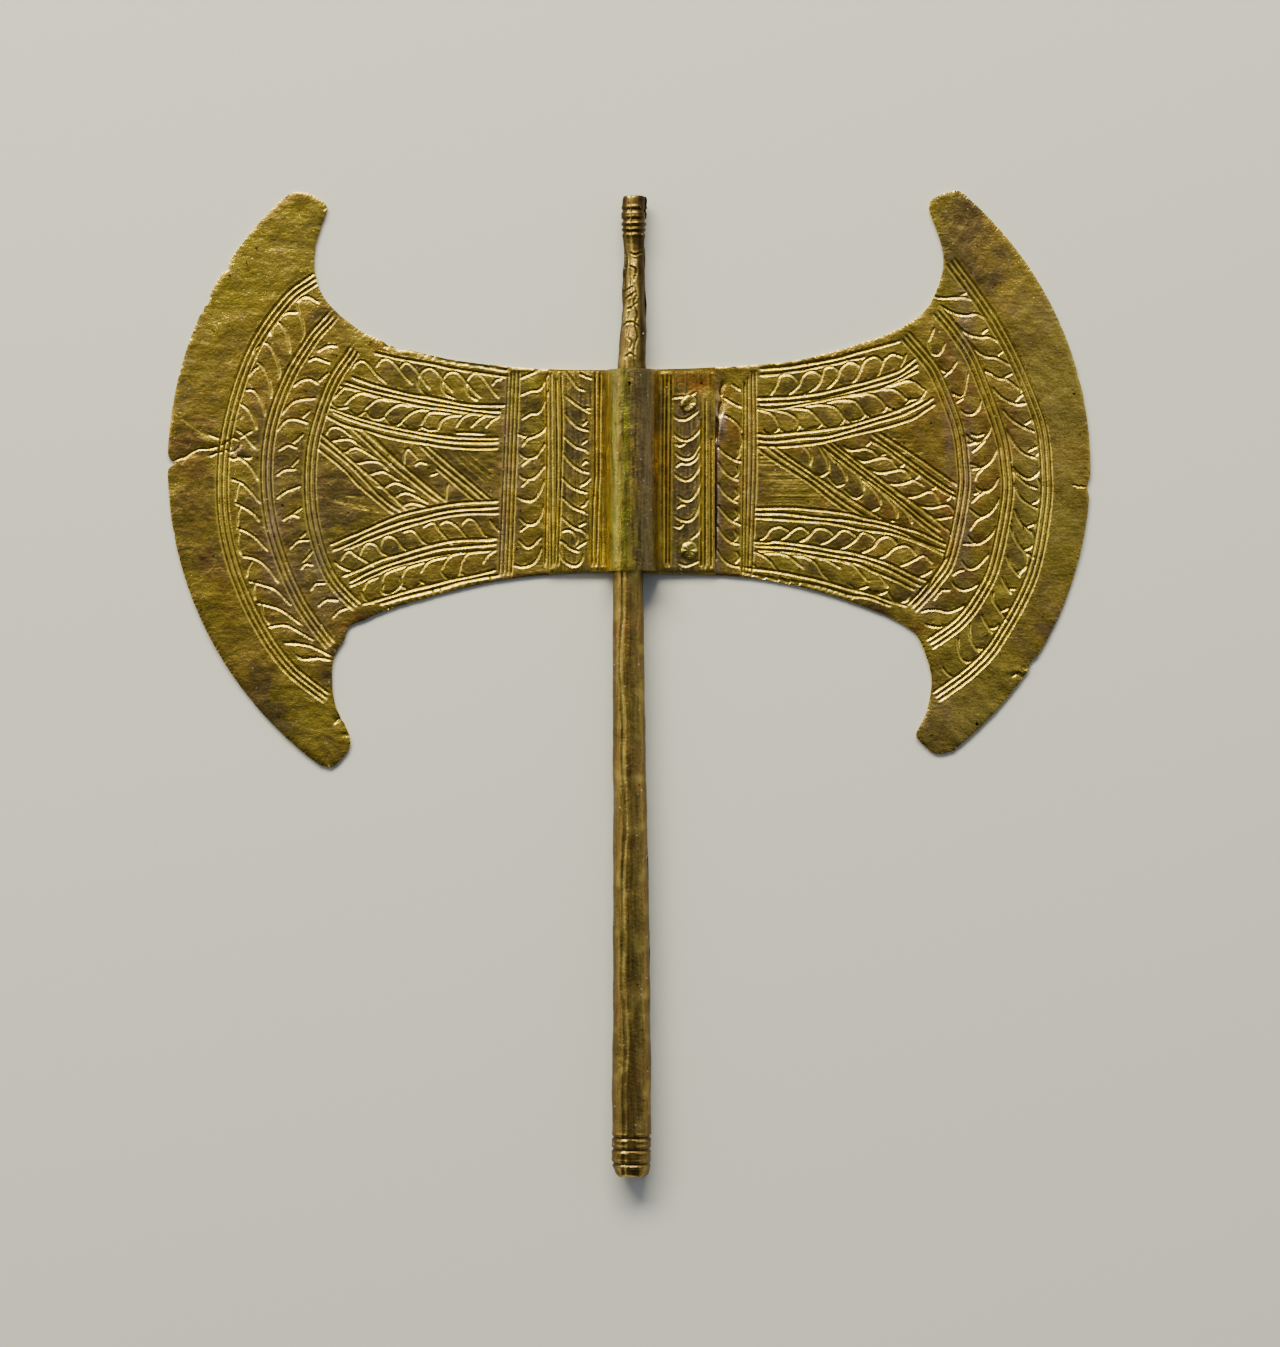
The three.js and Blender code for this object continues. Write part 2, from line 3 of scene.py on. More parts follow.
import bmesh
import bpy
import numpy as np
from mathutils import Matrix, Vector


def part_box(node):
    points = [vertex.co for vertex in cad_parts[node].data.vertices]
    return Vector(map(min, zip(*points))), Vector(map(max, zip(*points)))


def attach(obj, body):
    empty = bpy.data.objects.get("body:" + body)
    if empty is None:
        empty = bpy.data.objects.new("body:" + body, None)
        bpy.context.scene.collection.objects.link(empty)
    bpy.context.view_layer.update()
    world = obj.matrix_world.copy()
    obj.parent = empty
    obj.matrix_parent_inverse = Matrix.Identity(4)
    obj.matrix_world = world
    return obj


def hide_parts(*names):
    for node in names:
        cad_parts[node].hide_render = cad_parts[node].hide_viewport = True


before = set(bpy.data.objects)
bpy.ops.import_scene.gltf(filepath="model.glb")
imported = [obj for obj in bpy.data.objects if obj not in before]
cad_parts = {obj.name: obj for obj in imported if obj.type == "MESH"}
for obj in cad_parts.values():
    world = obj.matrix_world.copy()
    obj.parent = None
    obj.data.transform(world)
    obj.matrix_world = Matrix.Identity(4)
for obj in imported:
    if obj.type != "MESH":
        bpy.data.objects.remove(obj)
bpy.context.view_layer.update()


# The blade: one sheet of gold hammered thin, cut to two crescent wings and laid flat on its back.
# Its front is chased with a blunt point: the metal sinks along each line and rises beside it.
# Each wing is worked on its own here, and the two meet behind the sleeve.
mm = 0.001
sheet_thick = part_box("blade")[1].z
drawing_step = 0.1 * mm
drawing_middle = (632.0, 473.0)
grain_pitch = 0.19 * mm
metal_pitch = 0.05 * mm


def drawn(text):
    """Strokes written one to a line as x,y pairs, in tenths of a millimetre, with y running down."""
    strokes = []
    for line in text.strip().splitlines():
        pairs = [[float(value) for value in pair.split(",")] for pair in line.split()]
        strokes.append(np.array([[(x - drawing_middle[0]) * drawing_step,
                                  (drawing_middle[1] - y) * drawing_step] for x, y in pairs]))
    return strokes


def curved(points, step=0.15 * mm):
    """A smooth path through a stroke's points."""
    if len(points) < 3:
        count = max(int(np.hypot(*(points[1] - points[0])) / step), 1)
        share = np.linspace(0, 1, count + 1)[:, None]
        return points[0] * (1 - share) + points[1] * share
    ends = np.vstack([2 * points[0] - points[1], points, 2 * points[-1] - points[-2]])
    path = []
    for before, here, there, after in zip(ends, ends[1:], ends[2:], ends[3:]):
        count = max(int(np.hypot(*(there - here)) / step), 1)
        for t in np.arange(count) / count:
            path.append(0.5 * (2 * here + (there - before) * t
                               + (2 * before - 5 * here + 4 * there - after) * t ** 2
                               + (3 * here - before - 3 * there + after) * t ** 3))
    path.append(points[-1])
    return np.array(path)


def beside(path, distance):
    """The same path moved sideways, to its left for a positive distance."""
    along = np.gradient(path, axis=0)
    along /= np.hypot(along[:, 0], along[:, 1])[:, None]
    return path + distance * np.column_stack([-along[:, 1], along[:, 0]])


def rounded(distance, reach):
    """1 on a line, falling away softly on both sides of it within its reach."""
    return np.exp(-(distance / reach) ** 2)


def blank(low, high, pitch):
    """Bare metal between two corners, ready for cuts, their lips, the dirt in them and the parts worn bright
    by rubbing, with their painted highlights.
    """
    count_x = int(math.ceil((high[0] - low[0]) / pitch))
    count_y = int(math.ceil((high[1] - low[1]) / pitch))
    xs = np.linspace(low[0], high[0], count_x + 1)
    ys = np.linspace(low[1], high[1], count_y + 1)
    fields = {field: np.zeros((len(ys), len(xs))) for field in ("cut", "lip", "dark", "rub_and_highlight")}
    return {"x": xs, "y": ys, **fields}


def chase(metal, path, width, depth, lip, ends=0.3, dirt=1.0):
    """Sinks one line along a path and raises a lip on either side of it; ends is where it fades out.
    A line with little dirt in it is worn bright by rubbing nearer to its middle, with a painted highlight
    there as well, so its lips show bright whichever way it runs."""
    reach = width * 3.4
    lengths = np.hypot(*np.diff(path, axis=0).T)
    travelled = np.concatenate([[0], np.cumsum(lengths)])
    run = 8
    for start in range(0, len(path) - 1, run):
        part = path[start:start + run + 1]
        left, right = np.searchsorted(metal["x"], [part[:, 0].min() - reach, part[:, 0].max() + reach])
        foot, top = np.searchsorted(metal["y"], [part[:, 1].min() - reach, part[:, 1].max() + reach])
        if left >= right or foot >= top:
            continue
        across, up = np.meshgrid(metal["x"][left:right], metal["y"][foot:top])
        nearest = np.full(across.shape, 1.0)
        place = np.zeros(across.shape)
        for k in range(len(part) - 1):
            begin, way = part[k], part[k + 1] - part[k]
            share = ((across - begin[0]) * way[0] + (up - begin[1]) * way[1]) / (way @ way + 1e-20)
            share = np.clip(share, 0, 1)
            distance = np.hypot(across - begin[0] - share * way[0], up - begin[1] - share * way[1])
            closer = distance < nearest
            nearest = np.where(closer, distance, nearest)
            place = np.where(closer, travelled[start + k] + share * lengths[start + k], place)
        share = place / travelled[-1]
        strength = 1.0
        if ends:
            strength = 0.3 + 0.7 * np.clip(np.minimum(share, 1 - share) / ends, 0, 1) ** 0.7
        window = (slice(foot, top), slice(left, right))
        sunk = strength * rounded(nearest, width)
        raised = strength * rounded(nearest - 1.75 * width, 0.75 * width)
        # The lips' worn gold, together with a painted highlight along them whichever way the line runs.
        rub_and_highlight = strength * rounded(nearest / width - 0.8 - 0.95 * dirt, 0.8) * (lip > 0)
        worked_in = {"cut": sunk * depth, "lip": raised * lip, "dark": sunk * dirt, "rub_and_highlight": rub_and_highlight}
        for field, values in worked_in.items():
            metal[field][window] = np.maximum(metal[field][window], values)


def chase_all(metal, strokes, width, depth, lip, ends=0.3, dirt=1.0):
    """Sinks a set of strokes with one tool."""
    for stroke in strokes:
        chase(metal, curved(stroke), width, depth, lip, ends, dirt)


def hammered(x, y, seed, height, longest, shortest):
    """The slight waves that hammering leaves."""
    chance = np.random.default_rng(seed)
    total = np.zeros(np.shape(x))
    waves = 26
    for _ in range(waves):
        length = longest * (shortest / longest) ** chance.random()
        turn = chance.random() * 2 * math.pi
        start = chance.random() * 2 * math.pi
        along = x * math.cos(turn) + y * math.sin(turn)
        total += (length / longest) * np.cos(along * 2 * math.pi / length + start)
    return total * height / math.sqrt(waves)


def patches(x, y, places):
    """Soft patches, each at a drawn place with its own reach across and up, in tenths of a millimetre."""
    total = np.zeros(np.shape(x))
    for px, py, wide, tall, strength in places:
        cx = (px - drawing_middle[0]) * drawing_step
        cy = (drawing_middle[1] - py) * drawing_step
        reach_x, reach_y = wide * drawing_step, tall * drawing_step
        total += strength * rounded(x - cx, reach_x) * rounded(y - cy, reach_y)
    return total


# Outline of the blade: the cutting edges are arcs, the horns and the waist run through points.
left_edge = (-9.5, 0.7, 37.0)
right_edge = (9.9, 0.5, 36.0)
upper_left = [(-34.8, 27.5), (-34.2, 28.05), (-33.1, 28.15), (-31.8, 27.8), (-30.6, 26.9), (-30.5, 26.1),
              (-31.2, 24.2), (-31.65, 22.2), (-31.6, 19.8), (-30.5, 17.2), (-27.45, 14.5), (-24.6, 13.1),
              (-22.2, 12.35), (-16.8, 11.2), (-8.4, 10.4), (0, 10.3)]
lower_left = [(0, -10.0), (-6.0, -10.0), (-14.0, -10.9), (-23.2, -13.3), (-27.4, -15.1), (-28.9, -16.9),
              (-29.9, -19.0), (-29.7, -22.9), (-28.3, -26.0), (-28.3, -27.7), (-29.9, -29.4), (-31.0, -29.3)]
upper_right = [(0, 10.3), (8.4, 10.6), (16.8, 11.4), (24.0, 13.4), (27.6, 15.0), (29.6, 16.7), (30.8, 19.4),
               (31.1, 21.5), (30.7, 23.5), (29.7, 26.3), (30.1, 27.5), (32.4, 28.3), (33.6, 27.7)]
lower_right = [(32.4, -27.8), (30.4, -28.1), (28.7, -26.8), (28.4, -26.0), (29.4, -23.9), (29.9, -20.5),
               (28.8, -16.9), (27.6, -15.5), (24.0, -13.7), (16.8, -11.4), (9.6, -10.3), (0, -10.0)]
# Losses of the rim: each at its place, with its width and depth, in millimetres.
# The rim that the sleeve hides has none.
hidden_rim = 8.6
rim_losses = [
    (-46.3, 1.0, 0.5, 0.9), (-46.2, 1.0, 0.9, 0.3), (-40.75, 20.6, 0.7, 0.35), (-42.5, 17.2, 0.8, 0.35),
    (-42.9, 16.2, 0.5, 0.2), (45.9, -1.3, 1.1, 0.35), (40.4, -19.2, 0.9, 0.35), (-28.2, -15.3, 1.4, 0.4),
    (-23.2, 12.7, 0.9, 0.35), (-29.3, -24.6, 0.4, 0.2), (41.8, -15.5, 0.4, 0.2), (-24.4, 12.9, 0.5, 0.2),
    (-45.6, -6.0, 0.5, 0.15), (-38.5, -22.8, 0.5, 0.15), (44.5, 9.6, 0.5, 0.15), (29.2, -22.6, 0.4, 0.15)]


def arc_between(edge, begin, end, step=0.12):
    """The cutting edge between two points, in even steps along its arc."""
    x, y, radius = edge
    first = math.atan2(begin[1] - y, begin[0] - x)
    turn = math.atan2(end[1] - y, end[0] - x) - first
    if turn > 0:
        turn -= 2 * math.pi
    count = int(abs(turn) * radius / step)
    angles = first + turn * np.arange(1, count) / count
    return np.column_stack([x + radius * np.cos(angles), y + radius * np.sin(angles)])


def worn_rim(outline, seed):
    """The cut outline with its losses bitten in and the small waver of a hand-cut edge, in metres."""
    points = np.array(outline)
    towards = np.roll(points, -1, axis=0) - np.roll(points, 1, axis=0)
    towards /= np.hypot(towards[:, 0], towards[:, 1])[:, None] + 1e-12
    inward = np.column_stack([towards[:, 1], -towards[:, 0]])
    waver = hammered(points[:, 0], points[:, 1], seed, 0.05, 3.0, 0.5)
    bite = 0.04 + np.abs(waver)
    for x, y, width, depth in rim_losses:
        distance = np.hypot(points[:, 0] - x, points[:, 1] - y)
        bite += depth * np.clip(1 - distance / width, 0, 1)
    bite[np.abs(points[:, 0]) < hidden_rim] = 0.0
    return (points + inward * bite[:, None]) * mm


left_rim = worn_rim(np.vstack([curved(np.array(upper_left), 0.12), curved(np.array(lower_left), 0.12),
                               arc_between(left_edge, lower_left[-1], upper_left[0])]), 3)
right_rim = worn_rim(np.vstack([curved(np.array(upper_right), 0.12),
                                arc_between(right_edge, upper_right[-1], lower_right[0]),
                                curved(np.array(lower_right), 0.12)]), 5)

# Lines of the left wing. Groups of three follow the cutting edge, borders and diagonals run to the waist.
left_arcs = [
    [(-31.6, 19.5), (-34.5, 17.3), (-38.0, 12.2), (-40.3, 5.3), (-41.0, -0.7), (-40.5, -6.7), (-38.3, -13.2),
     (-34.8, -18.9), (-30.6, -22.5)],
    [(-30.0, 15.7), (-32.1, 13.3), (-34.5, 9.3), (-36.2, 4.3), (-36.6, -1.2), (-35.7, -6.7), (-33.3, -12.7),
     (-30.2, -17.2)],
    [(-27.8, 12.3), (-29.8, 9.3), (-31.2, 5.8), (-32.1, 1.8), (-32.15, -3.2), (-31.3, -7.4), (-29.9, -10.7),
     (-27.6, -13.3)],
]
left_borders = drawn("""
383,346 410,350 430,356 450,361.5 470,364.5 490,367.5 510,371
375,353 400,358.5 430,363.5 450,368 470,371 490,374 510,377
352,377 370,383.5 390,389 410,394 430,397 450,401 470,404.5 507,405
345,382 360,387 380,392 400,396 420,400 440,404 460,407 480,410 500,411.5
340,386 360,390.5 380,396 400,401 420,405.5 440,408 460,411 480,414 499,416
330,408 350,415 370,421 390,426 420,432 440,435 460,437 498,438
333,412 350,419 370,425 390,430 410,434 430,438 450,441 470,442 498,442
325,415 345,425 365,430 385,436 405,440 425,443 445,446 470,448 498,448
330,545 345,538 360,532 380,523 400,515 420,510 450,504 470,502 498,501
333,550 350,543 365,535 380,529 400,522 420,517 440,512 460,509 498,507
345,549 365,541 400,528 440,517 470,513 498,513
343,576 360,569 380,560 400,554 420,548 440,543 460,540 495,539
350,582 370,571 400,560 420,554 440,549 460,547 496,544
350,586 370,577 390,568 420,560 450,554 496,550
363,604 390,596 410,590 430,585 450,580 470,576 495,570
380,604 400,598 420,593 440,588 460,582 480,578 500,575
386,609 410,603 440,595 470,587 498,581
""")
left_diagonals = drawn("""
318,448 345,470 360,486 394,514
320,441 350,465 380,496 400,511
321,434 350,459 385,489 407,510
352,428 390,463 437,501
362,429 400,463 443,499
370,433 403,465 447,502
437,468 465,492 477,502
421,446 440,464 470,488 485,501
428,446 455,469 493,501
""")
left_uprights = drawn("""
508,372 499,576
511.5,372 503,576
515,372 507,576
519,372 511,576
546,378 547,455 545,566
""")
# Leaves of the left wing, row by row.
left_leaves = drawn("""
297,302 302,297.5 307.5,296.5 313,299 319,303
297,303 299,312 302.5,322 303.5,333 300.5,342
282,315 288,312.5 297,312
277,321.5 282,325 287,335 289,345 290,353
270,335 272,328 277.5,322
262,343 267.5,343.5 272.5,350 277,360 279,368 280,377
256,358 255,350 261,344
257.5,361.5 263.5,368 268.5,378 271,390 271,398
248,376.5 252.5,371 258,366.5
246,390 253,390 259,396.5 263.5,406.5 265,415
240,403 248.5,410 254,420 257,429
237,430 245,436 250,442 255,448
237,456 248,464 254,472 258,480
232,479 243,484 252,493 260,503
235,503 245,508 254,514 259,521
237,528 247,532 257,539 268,551
242,556 256,559 268,568 278,582
249,581 263,585 276,590 291,605
257,603 270,606 283,611 302,625
267,627 285,625 298,631 313,640
284,643 300,644 313,647 331,656
296,655 303,659 318,658 330,660
318,351 327,346 337,346
309,361 315,358 322,360 330,363
294,386 300,381 310,379 318,384
319,381 328,373
282,414 288,406 298,400 315,398
277,431 285,421 295,419 308,423
303,417 309,411
279,450 288,445 297,448
293,443 303,434
277,475 284,470 295,469
291,467 298,459
277,498 285,492 300,486
283,520 292,515 299,517
291,515 301,508
290,548 298,541 309,540
300,538 305,533
301,569 305,564 313,565
303,562 312,551
311,590 315,584 325,583
318,606 326,600 338,600
333,617 339,611 347,608
353,368 357,362 363,361 369,365 376,374 386,383
376,367 381,360 388,359 395,364 403,374 412,384
399,369 404,363 410,364 417,371 423,380 430,389
418,378 422,371 430,368 438,373 445,383 453,392
417,379 419,387 425,394 433,398
443,379 448,373 456,372 463,378 471,388 480,397
442,380 442,387 446,394 455,399
467,380 472,374 478,373 485,380 492,390 499,398
466,381 466,389 470,396 477,400
492,385 496,380 502,378
334,398 340,391 347,387 357,391
345,404 352,397 362,393 380,398
364,410 372,403 381,399 405,402
384,416 390,409 400,404 410,406
401,422 408,415 418,410 430,410
421,425 425,417 432,412 455,414
438,430 441,421 450,416 462,415
456,427 461,419 470,414 483,413
471,427 478,420 486,415
486,427 491,421 498,417
331,402 337,408 348,407
350,411 357,416 364,412
366,411 371,418 380,419 385,416
385,417 390,424 397,425 402,421
403,423 408,429 416,430 422,427
423,427 428,430 436,430
456,433 470,433 484,434
326,434 330,428 337,427 345,431 352,437
331,441 344,439 352,440 366,450
338,451 346,452 350,449 358,448 374,457 379,460
352,461 358,463 370,461 381,463 389,471
364,473 371,474 378,472 385,472 400,481
377,486 385,487 390,484 398,483 415,491
388,495 395,497 400,494 409,493 428,503
399,503 404,505 413,503 428,507
404,464 404,455 408,449 413,453 418,459
415,465 420,462 427,464
431,475 437,473
446,500 446,490 448,484
341,560 344,554 350,551 357,556 374,566
335,562 343,568 353,571 360,570
360,555 362,548 368,543 376,545 382,553 392,557
381,545 383,538 390,536 397,540 403,548 410,551
403,532 411,530 417,534 422,541 430,546
423,527 428,524 434,523 440,531 452,544
440,524 447,521 457,526 469,540
462,524 467,519 474,520 480,528 486,536 497,539
490,520 495,527 500,532
363,590 367,582 378,577
362,592 366,600 374,603
382,582 386,573 408,565
383,585 382,592 388,594 396,590 401,584 400,577
402,577 407,568 425,562
401,586 410,590 420,584
421,572 425,565 432,560 450,556
420,581 427,585
441,570 445,562 452,555 466,552
441,571 446,578 453,580 458,575 461,562
461,563 466,555 474,551
461,573 467,577
483,563 487,556 496,550
521,378 530,374 538,371
521,395 530,391 540,389 548,374
522,419 530,414 540,411 549,390
522,446 527,439 535,436 544,430 546,422
518,434 526,437
520,453 526,458 535,457 540,451 545,443
522,465 529,459
520,475 525,479 535,477 545,465
522,486 528,480
518,497 524,500 533,500 540,491 544,480
520,518 526,524 534,524 540,517 543,506
520,531 527,526
519,540 526,547 532,546 541,537
514,565 522,567 532,564 538,557 541,548
240,527 237.5,540 238.5,549 241.5,555
251,562 247.5,569 246.5,577
240,507 237.5,515 237.5,526
239,483 237,489 235,501
256,581 253,590 255,599
262,604 263,614 269,624
""")
# Fine scratches and hatching between the bands.
left_scratches = drawn("""
330,500 380,508
345,505 387,513
343,495 362,497
172,411 201,432 221,439
222,421 235,420 248,413
185,457 200,449 221,446
485,459 497,459
484,468 497,468
486,474 497,474
450,452 490,485
458,452 494,480
468,452 496,474
""")

# Lines of the right wing, laid out in the same way but not its mirror image.
right_arcs = [
    [(31.9, 21.1), (34.1, 18.2), (36.2, 15.1), (38.2, 11.5), (39.8, 7.8), (41.0, 4.3), (41.4, 0.3),
     (41.3, -3.7),
     (39.9, -10.4), (36.6, -16.7), (34.0, -19.7), (30.4, -22.4)],
    [(30.6, 16.2), (32.4, 14.0), (34.3, 10.9), (36.7, 4.5), (37.4, 1.1), (37.5, -2.7), (36.2, -9.2),
     (34.8, -12.2), (32.8, -14.9), (29.8, -17.1)],
    [(27.4, 13.7), (28.9, 12.0), (30.5, 9.8), (32.5, 4.8), (33.1, 1.1), (33.1, -2.2), (31.8, -8.4),
     (30.3, -10.9), (28.0, -13.5)],
]
right_borders = drawn("""
760,369 775,368 790,366.5 805,364 820,361.5 840,357.5 850,354.5 860,351.5 870,349 900,341
760,375 775,374 790,371.5 805,369.5 820,366 835,363.5 850,359.5 865,357
757,398 785,397 800,395.5 815,393.5 830,390.5 850,385.5 870,380.5 890,374 900,370 908,364 915,359
758,403.5 790,402 805,400.5 820,398.5 835,395 850,391.5 870,385.5 890,380 900,376 910,369 917,364.5
757,407 780,408 850,394.5 868,391 880,388.5 900,379.5 908,375 918,370.5
757,434 770,435 785,433.5 800,432 815,430.5 830,428.5 850,425 870,419 890,413 900,409 910,405 922,399
757,439.5 770,441 785,440 800,438 815,437 830,435.5 858,427.5 880,421 900,415.5 910,411 920,406 933,398
757,446 785,446 815,443 830,440 858,433 885,427 905,421 915,417 925,410 935,404
754,508 790,507.5 810,509 830,511 850,514 865,518 880,521 900,526.5 920,532.5 940,542 946,545
755,513 780,513 800,515 820,517.5 840,519 860,522 880,525.5 900,531.5 920,541 945,551
755,517.5 775,518.5 795,520 820,521.5 838,524 860,529 890,533 910,539 928,546 945,555
752,541.5 768,542.5 775,541 800,544 815,546 830,549 850,552 870,557.5 890,564 910,574 928,582
755,545.5 770,546 790,547 805,550 820,552 835,555 860,559 880,566 900,575 920,586
756,550 790,552 820,557 855,563 875,572 895,580 915,590
742,567 755,569 770,570.5 785,573 800,576 815,579 830,583 850,589 870,594 890,601 906,606
742,572 760,576 775,578.5 790,581 820,586 850,595 870,598 890,606
947,557 935,575 925,592 912,606
""")
right_diagonals = drawn("""
758,448 770,457.5 790,470.5 810,483 830,499 848,512
765,445 780,457 800,470 820,484 840,499.5 868,518
773,445 790,458 810,471.5 830,485 850,498.5 868,510 885,521
827,443 850,461 870,477 900,500 920,516 940,531
832,442 850,456 870,471 900,493 930,515 950,532
822,446 860,475 880,489 905,509 920,522 942,539
872,434 890,447 910,461 930,476 955,493
880,433 900,446 920,459 940,473 957,485
870,440 886,449 903,462 918,473 940,489 956,498
""")
right_uprights = drawn("""
744,383 744,430 742,575
747.5,378 747.5,455 745,575
751.5,372 752,455 748,575
755,372 756,455 752,575
""")
# Leaves of the right wing, row by row.
right_leaves = drawn("""
770,396 773,391 777,384 779,377 782,375 790,374.5 795,378 797,382
787,395.5 793,391 799,385 801,379 806,373 812,371 818,373 822,377
803,395 812,390 818,385 821,379 824,369 828,367 834,367 838,371
825,390 832,384 837,378 839,372 842,367 849,362 855,363 860,367
850,383 855,380 860,371 862,365 866,360 872,357 878,357.5 884,364
870,380 878,375 880,370 884,360 887,357 892,354 897,355 902,357
897,372 902,364 905,357 906,354
757,409 765,411 772,414 776,419 779,425 781,430 786,433
779,427 776,431 770,434 765,432 764,430
775,410 785,412 792,415 797,419 799,424 803,429
800,424 797,430 793,432.5
790,408 805,409 812,412 818,418 824,425 830,429
821,424 817,428 808,429
805,406 820,404.5 830,405.5 836,408 840,412 845,419 852,424
843,420 841,424 836,428
825,403 838,400 849,400 856,402 862,409 865,414 874,419.5
865,414 861,419 852,421
850,396 860,394.5 868,393.5 876,396 882,401 886,406 892,409.5 900,411
886,406 885,410 882,412
870,391 880,389 892,389 900,393 905,398 909,400
909,400 906,404 902,407
888,387 898,383 908,380.5 916,383 922,388 926,391
925,391 922,397 917,399 909,400
804,446 808,451 811,457 810,465
820,447 824,454 828,462 829,470
829,471 825,474 820,476 816,473
826,449 833,459 840,465 845,473 847,480
844,484 838,486 833,483 828,476
852,470 858,474 863,484 864,490
862,495 857,498 851,496 845,490
860,478 868,484 874,490 879,497 881,504
879,507 876,509 870,511
880,490 888,498 894,505 897,512 897,518
894,521 890,521
905,510 910,517 912,524
843,446 850,450 858,449.5 865,448.5 873,451 877,455 878,459
855,457 862,461 868,461 876,458.5 885,457.5 892,460 895,465 898,468
868,468 876,472 884,472.5 892,471 900,469.5 907,472 911,480
884,482 892,484 900,484 908,482 914,480 924,486
895,492 903,496 912,497 920,495 928,491.5 935,493 940,503
913,503 921,506 932,507.5 948,505 955,513
925,513 932,517 940,518.5 954,516
870,442 866,446
885,454 880,456
904,464 900,467
919,476 915,479
935,488 931,489
950,497 947,500
757,541 765,537 769,531 773,528 780,526.5 786,529 790,532
777,541 785,537 792,531 797,528 802,527.5 806,530 810,534
797,542.5 805,539 811,534 814,530 820,528 828,530 834,535
820,544 828,541 836,535 840,531 846,530 852,533 857,537
838,549 845,547 853,542 858,537 861,533 865,532.5 872,536 875,539
860,553 868,550 874,546 878,540 883,537 889,536.5 894,540 897,545
875,559 885,556 892,550 897,547 905,545.5 911,548 916,555
900,566 908,563 916,559 920,556.5 925,556 932,563
918,577 926,574 932,570
754,551 765,557 772,563 778,572
752,563 758,570
765,553 780,553.5 790,557 797,563 803,568
793,555 805,557 813,561 818,566 822,573 830,582
818,558 827,560 840,568
835,559 845,562 853,565 860,572 866,580
880,576 885,582 888,588
850,585 855,589 862,588 868,586
868,590 875,594 883,593 888,590
888,592 893,600 900,602 907,600 909,595
935,297 945,298 963,297 971,300
960,295 966,293
940,305 948,310 957,314 967,315 977,314 988,320
955,322 962,330 970,335 980,337 990,337 998,342
982,333 987,329
968,340 975,349 985,356 997,358 1012,366
998,355 1003,351
983,370 990,373 998,378 1008,380 1020,390
1003,378 1012,373
993,388 1000,396 1010,402 1018,404 1028,403
1017,399 1023,394
1003,410 1010,418 1018,424 1026,428 1035,432
1025,424 1033,419
1007,430 1012,440 1018,448 1025,454 1036,458
1028,451 1038,446
1012,466 1018,473 1026,478 1032,478 1040,470
1013,470 1020,479 1028,485 1038,489
1013,480 1016,489 1021,498 1027,503 1040,510
1031,504 1038,501
1015,510 1019,520 1024,526 1033,534
1027,527 1037,523
1011,528 1015,538 1023,550 1034,558
1023,550 1030,548 1034,544
1007,556 1010,564 1014,570 1020,577
1017,572 1023,570 1027,565
1002,577 1005,584 1011,594
1009,589 1015,589
993,592 993,600 1000,611 1009,623
1000,612 1009,608
982,615 985,622 992,633
989,628 995,628 999,624
970,624 970,636 976,649 980,651
975,648 983,649
958,638 959,650 963,660 970,662 975,658
943,668 948,674 954,677 961,674
928,342 932,353 939,354 945,343
928,342 931,335 934,328
937,364 942,370 949,372 957,361
942,378 949,372
951,392 956,395 963,395 968,372
957,402 963,398
961,410 966,414 973,414 978,409 981,400
966,434 970,439 975,442 980,442 988,434 991,425
968,444 975,443
971,434 977,436 984,434
970,464 976,466 981,468 988,464 993,458 997,448
972,469 981,468
972,452 978,447 985,440
976,487 981,491 988,491 994,486 998,478
974,494 980,492
975,480 977,474 982,469
970,509 976,514 982,517 990,513 996,505 999,498
972,502 978,496 984,492
968,536 972,541 977,544 984,541 991,535 996,526
963,544 975,544
970,530 976,521 982,518
962,561 966,567 971,569 978,566 989,554
953,575 958,571 964,570
952,582 956,587 963,590 972,588 980,583
941,590 950,590
934,600 937,595 941,591
921,612 928,610 938,610 948,612 958,609 965,605
925,624 930,626 940,627 948,625
732,384 740,390
724,397 731,402 737,405 741,407
725,415 733,420 740,427 741,433
717,445 724,453 733,459 742,462
736,459 739,454 738,449
718,461 724,471 731,477 738,480
733,478 738,473 737,467
718,483 724,493 731,499 738,503
718,505 724,513 731,520 741,525
733,500 738,495 736,489
717,525 723,535 731,542 739,544
733,521 738,516 736,510
717,549 723,559 731,565 740,567
732,543 737,537 735,531
735,563 739,558 737,552
1018,377 1021,386 1019,396 1015,402
1028,405 1032,414 1033,424
1037,440 1039,450 1036,456
1040,453 1041,465 1036,477
1038,478 1041,490 1037,503
1039,504 1039,516 1035,527
1031,530 1034,538 1030,548
1026,553 1026,563 1019,575
741,433 742,441 738,453
""")
# The right wing is hatched more: most of its waist's triangle and the corner beside the diagonals.
right_scratches = drawn("""
885,434 912,434
890,438 915,438
893,444 918,444
898,452 925,452
758,456 772,456.5
759,460 781,460
758,463.5 786,464
760,467 793,466.5
759,470 797,470.5
762,473 801,473
758,476 806,476.5
760,479 809,479
759,482 813,482.5
762,485 818,485
758,488 822,488
760,491 827,491.5
764,494 830,494
759,497 836,497
762,500 841,500.5
758,503 846,503
850,581 880,580
935,682 945,677
1012,677 1034,664
""")

# Cracks and crinkles of both wings, and the torn strip beside the sleeve on the right one.
left_cracks = drawn("""
171,463 178,459 185,457 192,452 200,449 208,449 221,446
221,446 227,442 233,438 238,440
224,449 230,452 236,450 240,445
227,455 232,459 238,458
229,436 231,446 236,456
240,438 246,434 252,431
238,455 245,458 252,457
208,434 215,437 221,439
210,456 217,453 224,452
343,716 338,719 334,724
""")
right_cracks = drawn("""
723,381 720,390 721,400 722,410 719,418
719,412 718,430 717,460 717,500 716,540
1090,486 1082,487 1072,485
1012,677 1020,671 1034,664
""")
right_torn = drawn("""
723,384 720,390 721,396
721,402 719,409 720,415
717,419 716,430 714.8,441
714.8,446 714.8,500 714.8,560
""")

